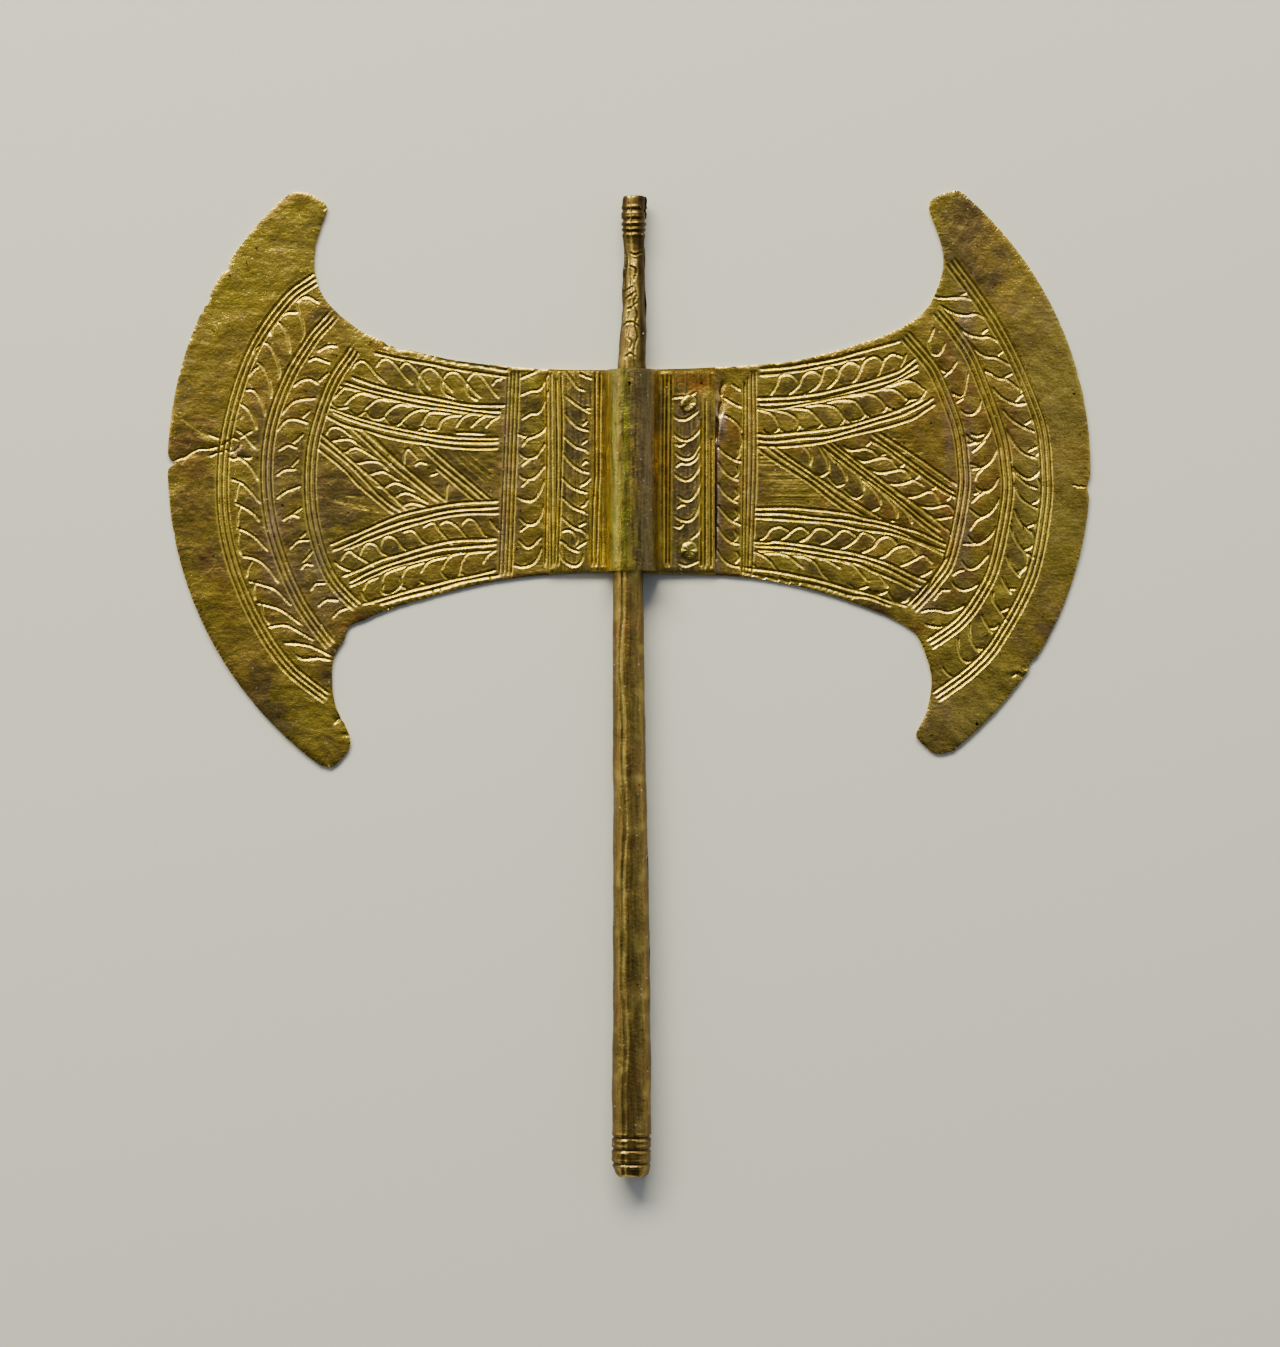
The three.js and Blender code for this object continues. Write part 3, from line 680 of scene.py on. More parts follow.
line_width, line_depth, line_lip = 0.105 * mm, 0.15 * mm, 0.055 * mm
leaf_width, leaf_depth, leaf_lip = 0.09 * mm, 0.14 * mm, 0.05 * mm
group_pitch = 0.5 * mm


def softened(field, reach):
    """A field of the metal blurred over a number of its places: the way it gives around the lines."""
    steps = np.arange(-3 * reach, 3 * reach + 1)
    weights = rounded(steps, reach)
    weights /= weights.sum()
    rows = np.array([np.convolve(row, weights, mode="same") for row in field])
    return np.array([np.convolve(column, weights, mode="same") for column in rows.T]).T


def chased_wing(rim, arcs, borders, diagonals, uprights, leaves, scratches, cracks, torn=()):
    """The metal of one wing with all its lines and leaves sunk in."""
    metal = blank(rim.min(0), rim.max(0), metal_pitch)
    for arc in arcs:
        middle = curved(np.array(arc) * mm)
        for place in (-group_pitch, 0, group_pitch):
            chase(metal, beside(middle, place), line_width, line_depth, line_lip, ends=0.02)
    chase_all(metal, borders, line_width, line_depth, line_lip, ends=0.03)
    chase_all(metal, diagonals, line_width, line_depth, line_lip, ends=0.05)
    chase_all(metal, uprights, line_width, line_depth * 0.9, line_lip, ends=0.02)
    chase_all(metal, leaves, leaf_width, leaf_depth, leaf_lip, ends=0.1, dirt=0.4)
    chase_all(metal, scratches, leaf_width * 0.6, leaf_depth * 0.3, leaf_lip * 0.1, dirt=1.0)
    chase_all(metal, cracks, leaf_width * 0.7, leaf_depth, leaf_lip * 0.5, ends=0.1)
    chase_all(metal, torn, leaf_width * 1.9, leaf_depth * 1.3, 0, ends=0.1)
    metal["give"] = softened(metal["cut"], 7)
    return metal


def inside(points, outline):
    """Which points lie inside a closed outline."""
    result = np.zeros(len(points), bool)
    ends = np.roll(outline, -1, axis=0)
    for (x0, y0), (x1, y1) in zip(outline, ends):
        if y0 == y1:
            continue
        low, high = min(y0, y1), max(y0, y1)
        near = (points[:, 1] > low) & (points[:, 1] <= high)
        where = points[near]
        result[near] ^= where[:, 0] < x0 + (where[:, 1] - y0) * (x1 - x0) / (y1 - y0)
    return result


def onto(points, outline):
    """The nearest place on a closed outline to each point."""
    ends = np.roll(outline, -1, axis=0)
    best = np.full(len(points), 1.0)
    moved = points.copy()
    for begin, end in zip(outline, ends):
        way = end - begin
        share = np.clip(((points - begin) @ way) / (way @ way + 1e-20), 0, 1)
        place = begin + share[:, None] * way
        distance = np.hypot(*(points - place).T)
        closer = distance < best
        best = np.where(closer, distance, best)
        moved[closer] = place[closer]
    return moved


def finished(name, shape):
    """A worked shape as a mesh, shaded smooth except across its sharp edges."""
    mesh = bpy.data.meshes.new(name)
    shape.to_mesh(mesh)
    shape.free()
    mesh.polygons.foreach_set("use_smooth", np.ones(len(mesh.polygons), bool))
    return mesh


def placed(name, data):
    """A new object of the scene: a piece, a light or a camera."""
    piece = bpy.data.objects.new(name, data)
    bpy.context.scene.collection.objects.link(piece)
    return piece


def paint(mesh, name, values):
    """Keeps a value at each point of the surface, for its material to read."""
    layer = mesh.attributes.new(name, "FLOAT", "POINT")
    layer.data.foreach_set("value", np.asarray(values, np.float32))


def on_metal(metal, field, x, y):
    """The value of a field of the metal at each point."""
    column = np.clip((x - metal["x"][0]) / (metal["x"][1] - metal["x"][0]), 0, len(metal["x"]) - 1.001)
    row = np.clip((y - metal["y"][0]) / (metal["y"][1] - metal["y"][0]), 0, len(metal["y"]) - 1.001)
    i, j = column.astype(int), row.astype(int)
    s, t = column - i, row - j
    grid = metal[field]
    return ((grid[j, i] * (1 - s) + grid[j, i + 1] * s) * (1 - t)
            + (grid[j + 1, i] * (1 - s) + grid[j + 1, i + 1] * s) * t)


rivet_places = [(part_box(name)[0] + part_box(name)[1]) / 2 for name in ("upper_rivet", "lower_rivet")]
shank_hole = 0.42 * mm
sleeve_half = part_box("sleeve")[1].x
waist_top = 10.35 * mm
thinnest = 0.12 * mm
thin_rim = 0.86


def fit_border(sheet, rim, holes):
    """Moves the sheet's border onto its rim and onto the holes for the rivets."""
    border = [vert for vert in sheet.verts if vert.is_boundary]
    ends = np.array([vert.co[:2] for vert in border])
    moved = onto(ends, rim)
    for x, y in holes:
        near = np.hypot(ends[:, 0] - x, ends[:, 1] - y) < shank_hole + 3 * grain_pitch
        way = ends[near] - (x, y)
        moved[near] = (x, y) + way / np.hypot(way[:, 0], way[:, 1])[:, None] * shank_hole
    for vert, (x, y) in zip(border, moved):
        vert.co.x, vert.co.y = x, y


def points_of(mesh):
    """The x, y and z of a mesh's points."""
    places = np.zeros(len(mesh.vertices) * 3, np.float32)
    mesh.vertices.foreach_get("co", places)
    return places.reshape(-1, 3).T.astype(float)


def cut_sheet(name, rim, metal, seed, dents, warm_places, dull_places, bloom_places):
    """A wing: a grid trimmed to its rim, lifted to the chased face, with walls down to a flat back."""
    sheet = bmesh.new()
    low, high = rim.min(0), rim.max(0)
    size = high - low
    across, up = (size / grain_pitch).astype(int)
    bmesh.ops.create_grid(sheet, x_segments=int(across), y_segments=int(up), size=0.5)
    bmesh.ops.scale(sheet, vec=(size[0], size[1], 1), verts=sheet.verts)
    bmesh.ops.translate(sheet, vec=((low[0] + high[0]) / 2, (low[1] + high[1]) / 2, 0), verts=sheet.verts)
    holes = [(p.x, p.y) for p in rivet_places if low[0] < p.x < high[0]]
    places = np.array([vert.co[:2] for vert in sheet.verts])
    keep = inside(places, rim) | (np.abs(places[:, 0]) < grain_pitch * 0.01)
    for x, y in holes:
        keep &= np.hypot(places[:, 0] - x, places[:, 1] - y) > shank_hole
    keep &= (places[:, 1] < waist_top) | (np.abs(places[:, 0]) > grain_pitch)
    verts = list(sheet.verts)
    bmesh.ops.delete(sheet, geom=[verts[i] for i in np.flatnonzero(~keep)], context="VERTS")
    lonely = [vert for vert in sheet.verts if len(vert.link_faces) == 0]
    bmesh.ops.delete(sheet, geom=lonely, context="VERTS")
    for _ in range(3):
        corners = [vert for vert in sheet.verts if len(vert.link_faces) == 1 and len(vert.link_edges) == 2
                   and abs(vert.co.x) > grain_pitch * 1.5]
        pinched = [vert for vert in sheet.verts if sum(edge.is_boundary for edge in vert.link_edges) > 2]
        faces = [vert.link_faces[0] for vert in corners]
        faces += [face for vert in pinched for face in vert.link_faces]
        bmesh.ops.delete(sheet, geom=list(set(faces)), context="FACES")
    fit_border(sheet, rim, holes)
    middles = np.array([face.calc_center_median()[:2] for face in sheet.faces])
    worked_metal = np.maximum(on_metal(metal, "cut", *middles.T) / leaf_depth,
                              on_metal(metal, "lip", *middles.T) / leaf_lip)
    edge_faces = np.array([any(edge.is_boundary for edge in face.edges) for face in sheet.faces])
    open_metal = (np.abs(middles[:, 0]) > sleeve_half - grain_pitch) & ((worked_metal > 0.12) | edge_faces)
    faces = list(sheet.faces)
    finer = {edge for i in np.flatnonzero(open_metal) for edge in faces[i].edges}
    bmesh.ops.subdivide_edges(sheet, edges=list(finer), cuts=1, use_grid_fill=True)
    fit_border(sheet, rim, holes)
    x, y = np.array([vert.co[:2] for vert in sheet.verts]).T
    cut, lip = on_metal(metal, "cut", x, y), on_metal(metal, "lip", x, y)
    swell = hammered(x, y, seed, 0.06 * mm, 9 * mm, 3 * mm)
    swell += hammered(x, y, seed + 7, 0.025 * mm, 2.6 * mm, 0.7 * mm)
    swell += patches(x, y, dents) * mm
    swell -= 1.1 * on_metal(metal, "give", x, y)
    face = sheet_thick + swell + lip * (1 - cut / leaf_depth) - cut
    covered = np.abs(x) < sleeve_half
    face = np.where(covered, np.minimum(face, sheet_thick - 0.01 * mm), face)
    on_border = np.array([vert.is_boundary for vert in sheet.verts])
    face = np.where(on_border & ~covered, sheet_thick * thin_rim + swell * 0.5, face)
    for vert, z in zip(sheet.verts, np.clip(face, thinnest, None)):
        vert.co.z = z
    rim_edges = [edge for edge in sheet.edges if edge.is_boundary]
    for edge in rim_edges:
        edge.smooth = False
    walls = bmesh.ops.extrude_edge_only(sheet, edges=rim_edges)["geom"]
    for vert in (item for item in walls if isinstance(item, bmesh.types.BMVert)):
        vert.co.z = 0.0
    foot_edges = [item for item in walls if isinstance(item, bmesh.types.BMEdge) and item.is_boundary]
    for edge in foot_edges:
        edge.smooth = False
    bmesh.ops.triangle_fill(sheet, use_beauty=False, use_dissolve=False, edges=foot_edges, normal=(0, 0, -1))
    bmesh.ops.recalc_face_normals(sheet, faces=sheet.faces)
    mesh = finished(name, sheet)
    x, y, z = points_of(mesh)
    front = z > 0.05 * mm
    # Masks for the material: dirt in the lines, lips worn gold with a painted highlight on them, and the
    # warm, dull and bloomed film.
    paint(mesh, "groove_dirt_and_shade", np.where(front, on_metal(metal, "dark", x, y), 0))
    paint(mesh, "ridge_rub_and_highlight", np.where(front, on_metal(metal, "rub_and_highlight", x, y), 0))
    paint(mesh, "warm", np.clip(patches(x, y, warm_places), 0, 1))
    paint(mesh, "dull", np.clip(patches(x, y, dull_places), -1, 1))
    paint(mesh, "bloom_and_sheen", np.clip(patches(x, y, bloom_places), 0, 1))
    piece = placed(name, mesh)
    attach(piece, "root")
    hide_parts("blade")
    return piece


# Dents and swells of each wing, then where its film is warm, dull or bloomed; on the upper left wing, dull
# below zero is painted sheen.
left_dents = [(233, 445, 7, 7, -0.1), (226, 440, 4, 3, 0.08), (242, 450, 4, 5, 0.07), (338, 719, 5, 5, -0.1),
              (345, 735, 9, 2, -0.08), (205, 440, 20, 3, 0.06), (200, 455, 16, 3, -0.05)]
right_dents = [(1022, 671, 12, 2.5, 0.07), (1020, 676, 12, 2.5, -0.06), (880, 589, 9, 2.5, 0.06),
               (905, 614, 6, 5, 0.04), (1082, 486, 8, 4, 0.05), (722, 400, 4, 15, -0.1),
               (717, 490, 2.2, 75, 0.14), (721, 425, 2.5, 10, 0.14)]
left_warm = [
    (200, 640, 50, 110, 0.35), (190, 450, 24, 40, 0.3), (290, 200, 30, 20, 0.3), (232, 448, 14, 14, 0.8),
    (300, 420, 40, 60, 0.25), (270, 540, 30, 40, 0.3), (350, 620, 20, 20, 0.6), (390, 345, 20, 8, 0.6),
    (505, 470, 10, 120, 0.5), (548, 400, 8, 60, 0.5), (320, 470, 8, 60, 0.3)]
right_warm = [
    (900, 480, 60, 120, 0.3), (960, 420, 14, 120, 0.5), (1000, 520, 16, 90, 0.4),
    (740, 470, 30, 120, 0.3), (745, 470, 12, 120, 0.4), (722, 400, 9, 40, 0.4), (965, 530, 30, 60, 0.7),
    (1000, 420, 25, 60, 0.5), (918, 630, 12, 14, 0.7), (950, 390, 30, 40, 0.4), (860, 505, 60, 12, 0.4),
    (1085, 480, 10, 60, 0.5), (820, 445, 60, 10, 0.5)]
# The two patches below zero at the upper left are painted sheen, where that part of the wing is lit
# brighter.
left_dull = [
    (195, 500, 26, 90, 0.35), (260, 330, 30, 60, -0.3), (265, 500, 20, 120, 0.6),
    (517, 470, 14, 110, 0.4), (310, 230, 30, 40, -0.3), (345, 488, 34, 40, 0.7), (480, 480, 30, 20, 0.4),
    (430, 470, 80, 110, 0.3), (280, 690, 40, 60, 0.15)]
right_dull = [
    (960, 235, 35, 45, 0.8), (1055, 430, 40, 130, -0.8), (990, 700, 45, 50, -0.9),
    (780, 485, 36, 24, 0.6), (850, 470, 70, 90, 0.3), (910, 520, 30, 30, 0.2)]

left_bloom = [
    (268, 470, 6, 50, 0.4), (274, 540, 8, 45, 0.5), (292, 590, 10, 28, 0.6), (312, 625, 12, 18, 0.4),
    (318, 440, 6, 50, 0.3), (312, 500, 6, 50, 0.4), (320, 560, 8, 40, 0.6), (338, 600, 10, 16, 0.6),
    (506, 430, 5, 70, 0.6), (502, 540, 5, 50, 0.6), (238, 450, 10, 7, 0.6), (268, 500, 25, 60, 0.15),
    (518, 470, 3, 100, 0.4)]
# The two strongest patches, along the torn ridge beside the sleeve, are lilac film with a painted highlight
# on it.
right_bloom = [
    (965, 330, 9, 40, 0.6), (950, 430, 6, 60, 0.5), (968, 460, 6, 60, 0.6), (962, 540, 9, 50, 0.6),
    (717, 490, 3, 85, 1.6), (722, 422, 4, 14, 1.3), (752, 470, 6, 100, 0.4), (925, 600, 12, 14, 0.6),
    (1050, 420, 50, 160, 0.3), (960, 720, 60, 60, 0.3)]

left_metal = chased_wing(left_rim, left_arcs, left_borders, left_diagonals, left_uprights, left_leaves,
                         left_scratches, left_cracks)
left_wing = cut_sheet("left_wing", left_rim, left_metal, 11, left_dents, left_warm, left_dull, left_bloom)
right_metal = chased_wing(right_rim, right_arcs, right_borders, right_diagonals, right_uprights,
                          right_leaves, right_scratches, right_cracks, right_torn)
right_wing = cut_sheet("right_wing", right_rim, right_metal, 12, right_dents, right_warm, right_dull,
                       right_bloom)


def add(tree, kind, inputs=None, **settings):
    """Adds a node, with its settings and what each named input takes: a value or another node's output."""
    made = tree.nodes.new(kind)
    for name, value in settings.items():
        setattr(made, name, value)
    for name, value in (inputs or {}).items():
        if isinstance(value, bpy.types.NodeSocket):
            tree.links.new(value, made.inputs[name])
        else:
            made.inputs[name].default_value = value
    return made


def blended(tree, share, first, second, blend_type="MIX"):
    """One colour laid over another."""
    made = add(tree, "ShaderNodeMix", {0: share, 6: first, 7: second}, data_type="RGBA",
               blend_type=blend_type, clamp_factor=True)
    return made.outputs[2]


def worked(tree, operation, first, second=0.0, third=0.0, limit=False):
    """One step of arithmetic on values."""
    made = add(tree, "ShaderNodeMath", {0: first, 1: second, 2: third}, operation=operation, use_clamp=limit)
    return made.outputs[0]


def noise(tree, where, scale, detail=4.0, roughness=0.55):
    """Soft random mottling of the gold."""
    made = add(tree, "ShaderNodeTexNoise", {"Vector": where, "Scale": scale, "Detail": detail,
                                            "Roughness": roughness})
    return made.outputs[0]


def spread(tree, value, low, high, least=0.0, most=1.0):
    """A value's own range, from low to high, spread from least to most and held there."""
    made = add(tree, "ShaderNodeMapRange", {0: value, 1: low, 2: high, 3: least, 4: most}, clamp=True)
    return made.outputs[0]


def make_film_group():
    """Old gold: metal, a thin film in patches, dirt in the lines and lips worn bright by rubbing, as colour
    and masks, with painted shade, painted sheen, painted highlights and painted glints laid in through them.
    """
    tree = bpy.data.node_groups.new("old_gold_film", "ShaderNodeTree")
    for name, kind in (("Gold", "Color"), ("Film", "Color"), ("Warm Film", "Color"), ("Dirt", "Color"),
                       ("Bloom Film", "Color"), ("Grain", "Vector"), ("Groove_dirt_and_shade", "Float"), ("Ridge_rub_and_highlight", "Float"),
                       ("Warm", "Float"), ("Dull", "Float"), ("Bloom_and_sheen", "Float"), ("Streak", "Float")):
        tree.interface.new_socket(name, in_out="INPUT", socket_type="NodeSocket" + kind)
    for name, kind in (("Color", "Color"), ("Roughness", "Float"), ("Height", "Float")):
        tree.interface.new_socket(name, in_out="OUTPUT", socket_type="NodeSocket" + kind)
    given = tree.nodes.new("NodeGroupInput").outputs
    result = tree.nodes.new("NodeGroupOutput").inputs
    where = add(tree, "ShaderNodeTexCoord").outputs["Object"]
    broad = noise(tree, where, 140.0, 5.0, 0.6)
    middle = noise(tree, where, 620.0, 4.0, 0.6)
    fine = noise(tree, where, 3200.0, 3.0, 0.6)
    along = add(tree, "ShaderNodeVectorMath", {0: where, 1: given["Grain"]}, operation="MULTIPLY").outputs[0]
    streaks = noise(tree, along, 4200.0, 3.0, 0.6)
    tint = noise(tree, where, 75.0, 2.0, 0.5)
    cloud = worked(tree, "ADD", worked(tree, "MULTIPLY", broad, 0.6), worked(tree, "MULTIPLY", middle, 0.4))
    # Dull adds film; on the bulge's right half and the handle's right side that is painted shade, and below
    # zero it bares the gold, which on the upper left wing is painted sheen.
    film = worked(tree, "ADD", spread(tree, cloud, 0.40, 0.60), given["Dull"], limit=True)
    colour = blended(tree, film, given["Gold"], given["Film"])
    streak = worked(tree, "MULTIPLY", given["Warm"], spread(tree, middle, 0.35, 0.6))
    colour = blended(tree, streak, colour, given["Warm Film"])
    # Bloom: a pinkish film on the wings, with a painted highlight on the torn ridge, and painted sheen on
    # the sleeve's bulge.
    haze_and_sheen = worked(tree, "MULTIPLY", given["Bloom_and_sheen"], spread(tree, streaks, 0.25, 0.55))
    colour = blended(tree, haze_and_sheen, colour, given["Bloom Film"])
    streaked = worked(tree, "MULTIPLY", worked(tree, "SUBTRACT", streaks, 0.5), given["Streak"])
    shade = worked(tree, "ADD", worked(tree, "MULTIPLY", fine, 0.9), worked(tree, "ADD", streaked, 0.45))
    shade = worked(tree, "ADD", shade, 0.14)
    greener = worked(tree, "MULTIPLY", spread(tree, tint, 0.35, 0.65), 0.12)
    red = worked(tree, "MULTIPLY", shade, worked(tree, "SUBTRACT", 1.12, greener))
    blue = worked(tree, "MULTIPLY", shade, worked(tree, "SUBTRACT", 1.05, greener))
    toned = add(tree, "ShaderNodeCombineColor", {0: red, 1: shade, 2: blue}).outputs[0]
    colour = blended(tree, 1.0, colour, toned, "MULTIPLY")
    # Gold on lips worn by rubbing, together with painted highlights on lines, seam, bumps and the bulge's
    # foot.
    rub_and_highlight = worked(tree, "MULTIPLY", given["Ridge_rub_and_highlight"], worked(tree, "SUBTRACT", 0.8, haze_and_sheen), limit=True)
    colour = blended(tree, rub_and_highlight, colour, given["Gold"])
    # Dark in the lines from dirt, and painted shade down the handle's sides and right.
    dirt_and_shade = worked(tree, "MULTIPLY", spread(tree, given["Groove_dirt_and_shade"], 0.3, 0.85),
                   worked(tree, "ADD", worked(tree, "MULTIPLY", middle, 0.5), 0.6), limit=True)
    colour = blended(tree, dirt_and_shade, colour, given["Dirt"])
    speck = spread(tree, noise(tree, where, 1500.0, 2.0, 0.5), 0.70, 0.78)
    colour = blended(tree, speck, colour, given["Dirt"])
    # Painted glints: small pale dots strewn over the brighter mottling.
    cells = add(tree, "ShaderNodeTexVoronoi", {"Vector": where, "Scale": 1300.0}, feature="F1")
    dots = spread(tree, cells.outputs["Distance"], 0.13, 0.07)
    bright = worked(tree, "MULTIPLY", dots, spread(tree, middle, 0.45, 0.6))
    colour = blended(tree, bright, colour, (1.0, 0.93, 0.7, 1.0))
    rough = worked(tree, "ADD", worked(tree, "MULTIPLY", streaks, 0.2), 0.12)
    rough = worked(tree, "ADD", rough, worked(tree, "MULTIPLY", film, 0.1))
    rough = worked(tree, "ADD", rough, worked(tree, "MULTIPLY", dirt_and_shade, 0.2), limit=True)
    grit = noise(tree, where, 7500.0, 2.0, 0.6)
    height = worked(tree, "ADD", worked(tree, "MULTIPLY", fine, 0.8), worked(tree, "MULTIPLY", middle, 0.35))
    height = worked(tree, "ADD", height, worked(tree, "MULTIPLY", grit, 0.4))
    for name, value in (("Color", colour), ("Roughness", rough), ("Height", height)):
        tree.links.new(value, result[name])
    return tree


film_group = make_film_group()


def old_gold(name, gold, film, warm_film, dirt, bloom_and_sheen=(0.36, 0.26, 0.19), grain=(0.14, 1, 1),
             streak=0.8, relief=0.05 * mm):
    """A material of old gold, with its own tones and the points' own masks."""
    material = bpy.data.materials.new(name)
    material.use_nodes = True
    tree = material.node_tree
    shader = tree.nodes["Principled BSDF"]
    masks = {mask.capitalize(): add(tree, "ShaderNodeAttribute", attribute_name=mask).outputs["Fac"]
             for mask in ("groove_dirt_and_shade", "ridge_rub_and_highlight", "warm", "dull", "bloom_and_sheen")}
    tones = {"Gold": (*gold, 1), "Film": (*film, 1), "Warm Film": (*warm_film, 1), "Dirt": (*dirt, 1),
             "Bloom Film": (*bloom_and_sheen, 1), "Grain": grain, "Streak": streak}
    made = tree.nodes.new("ShaderNodeGroup")
    made.node_tree = film_group
    for socket, value in {**tones, **masks}.items():
        if isinstance(value, bpy.types.NodeSocket):
            tree.links.new(value, made.inputs[socket])
        else:
            made.inputs[socket].default_value = value
    tree.links.new(made.outputs["Color"], shader.inputs["Base Color"])
    tree.links.new(made.outputs["Roughness"], shader.inputs["Roughness"])
    shader.inputs["Metallic"].default_value = 1.0
    grain_height = made.outputs["Height"]
    bump = add(tree, "ShaderNodeBump", {"Height": grain_height, "Distance": relief, "Strength": 1.0})
    tree.links.new(bump.outputs[0], shader.inputs["Normal"])
    return material


blade_gold = old_gold("blade_gold", (0.86, 0.64, 0.085), (0.25, 0.185, 0.065),
                      (0.46, 0.22, 0.04), (0.006, 0.004, 0.003), bloom_and_sheen=(0.46, 0.34, 0.25))
for wing in (left_wing, right_wing):
    wing.data.materials.append(blade_gold)


# The handle: a tube rolled from gold sheet, its seam down the front, with rings at both ends.
# It is crumpled and dented all along, and lies between the blade and the sleeve.
handle_low, handle_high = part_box("handle")
# Places up the handle, each with its width there and how far its middle is off the axe's, in millimetres.
handle_stations = np.array([
    (27.5, 2.3, 0.2), (26.4, 2.4, 0.2), (23.9, 2.35, 0.2), (23.2, 2.0, 0.2), (21.6, 2.0, 0.2),
    (19.5, 2.2, 0.2), (16.7, 2.4, 0.2), (13.5, 2.65, 0.1), (10.7, 2.8, 0.0), (0.0, 2.9, -0.2),
    (-10.9, 3.0, -0.4), (-20.0, 3.15, -0.35), (-30.1, 3.3, -0.25), (-43.7, 3.6, -0.1),
    (-52.7, 3.7, -0.05), (-61.7, 3.9, -0.05), (-68.5, 3.85, -0.05), (-69.6, 3.5, 0.0),
    (-70.1, 3.1, 0.0)])[::-1] * mm
# Ring grooves, each at its place with its depth.
handle_rings = [(26.05, 0.1), (25.1, 0.13), (24.4, 0.12), (23.9, 0.12), (-66.1, 0.13), (-67.3, 0.13),
                (-68.7, 0.14)]
handle_wall = 0.35 * mm
handle_round = 80
handle_steps = 860
handle_flatness = 0.906
seam_turn = math.radians(112)
ring_width, ring_lip_width = 0.13 * mm, 0.12 * mm
ring_lip, ring_lip_off = 0.05 * mm, 0.34 * mm
seat_radius, seat_half = 1.6 * mm, 0.55 * mm
plain_below, crumpled_from = 9 * mm, 12 * mm
drawn_pitch = 0.06 * mm


def handle_middle(y):
    """How far the tube's middle is off the axe's."""
    return np.interp(y, handle_stations[:, 0], handle_stations[:, 2])


def ragged_foot(turn, up_share):
    """How far the tube's lower end is worn away, all round."""
    return 0.25 * mm * np.exp(-up_share * 400) * np.abs(np.sin(turn * 2.3 + 0.6))


def tube_grid(around, along, wrap):
    """A grid with one side wrapped round a tube and the other up it, joined where it meets itself."""
    tube = bmesh.new()
    bmesh.ops.create_grid(tube, x_segments=around, y_segments=along, size=0.5)
    places = np.array([vert.co[:2] for vert in tube.verts]) + 0.5
    for vert, place in zip(tube.verts, wrap(places[:, 0], places[:, 1])):
        vert.co = place
    bmesh.ops.remove_doubles(tube, verts=tube.verts, dist=0.002 * mm)
    return tube


handle_creases = drawn("""
624,236 625,250 627,265 625,277 625,289 623,300
634,286 636.5,297 633.5,306 637,317 635,327 637,339 634,351 634,372
627,312 632.5,309 637,305
623,327 631,324 638.5,328.5
626,301 631,297.5 637,293
622,294 628,291.5 634,288.5
631,255 635.5,257 643,253.5
628,340 632,345 629,352
625,360 630,356 636,360
630,268 636,272 634,282
""")
handle_metal = blank(np.array([-3 * mm, handle_low.y]), np.array([3 * mm, handle_high.y]), drawn_pitch)
chase_all(handle_metal, handle_creases, 0.1 * mm, leaf_depth * 0.8, leaf_lip * 1.2, ends=0.15)


def handle_width(y):
    """The tube's width, eased over a millimetre where it changes."""
    places, widths = handle_stations[:, 0], handle_stations[:, 1]
    return sum(np.interp(y + off * mm, places, widths) for off in (-0.5, 0, 0.5)) / 3


def closer_at_the_ends(share):
    """Steps along the tube, half as long at its ringed ends as on average."""
    return share - 0.08 * np.sin(2 * np.pi * share)


def seam_at(y):
    """Where the seam stands round the tube, wandering a little on its way up."""
    return seam_turn + 0.10 * np.sin(y / (4.2 * mm)) + 0.06 * np.sin(y / (1.7 * mm))


def handle_outside(turn_share, up_share):
    """The tube's skin, with rings, crumples, seam and creases."""
    up_share = closer_at_the_ends(up_share)
    turn = turn_share * 2 * math.pi
    y = handle_low.y + up_share * (handle_high.y - handle_low.y)
    half = handle_width(y) / 2
    radius = half.copy()
    for place, depth in handle_rings:
        radius -= depth * mm * rounded(y - place * mm, ring_width)
        for side in (-ring_lip_off, ring_lip_off):
            radius += ring_lip * rounded(y - place * mm - side, ring_lip_width)
    arc = turn * half
    crumple = hammered(arc, y, 21, 0.05 * mm, 7 * mm, 1.2 * mm)
    crumple += hammered(arc * 3, y, 22, 0.07 * mm, 12 * mm, 3 * mm)
    upper = np.clip((y - 8 * mm) / (6 * mm), 0, 1)
    radius += crumple * (0.8 + 1.2 * upper)
    off = (turn - seam_at(y)) * half
    radius -= 0.12 * mm * rounded(off, 0.14 * mm)
    radius += 0.07 * mm * rounded(off - 0.28 * mm, 0.16 * mm)
    end = np.minimum(up_share, 1 - up_share) * (handle_high.y - handle_low.y)
    radius -= 0.12 * mm * np.exp(-end / (0.12 * mm))
    sink = handle_flatness * (seat_radius - math.sqrt(seat_radius ** 2 - seat_half ** 2))
    x = handle_middle(y) + radius * np.cos(turn)
    z = sheet_thick - sink + (half + radius * np.sin(turn)) * handle_flatness
    creases = on_metal(handle_metal, "lip", x, y) - on_metal(handle_metal, "cut", x, y)
    z += np.where(np.sin(turn) > 0.2, creases, 0)
    y = y + ragged_foot(turn, up_share)
    return np.column_stack([x, y, np.clip(z, sheet_thick, handle_high.z)])


def handle_inside(turn_share, up_share):
    """The tube's plain bore."""
    turn = -turn_share * 2 * math.pi
    y = handle_low.y + up_share * (handle_high.y - handle_low.y)
    half = handle_width(y) / 2
    radius = np.maximum(half - handle_wall, 0.25 * mm)
    x = handle_middle(y) + radius * np.cos(turn)
    z = sheet_thick + (half + radius * np.sin(turn)) * handle_flatness
    return np.column_stack([x, y + ragged_foot(turn, up_share), z])


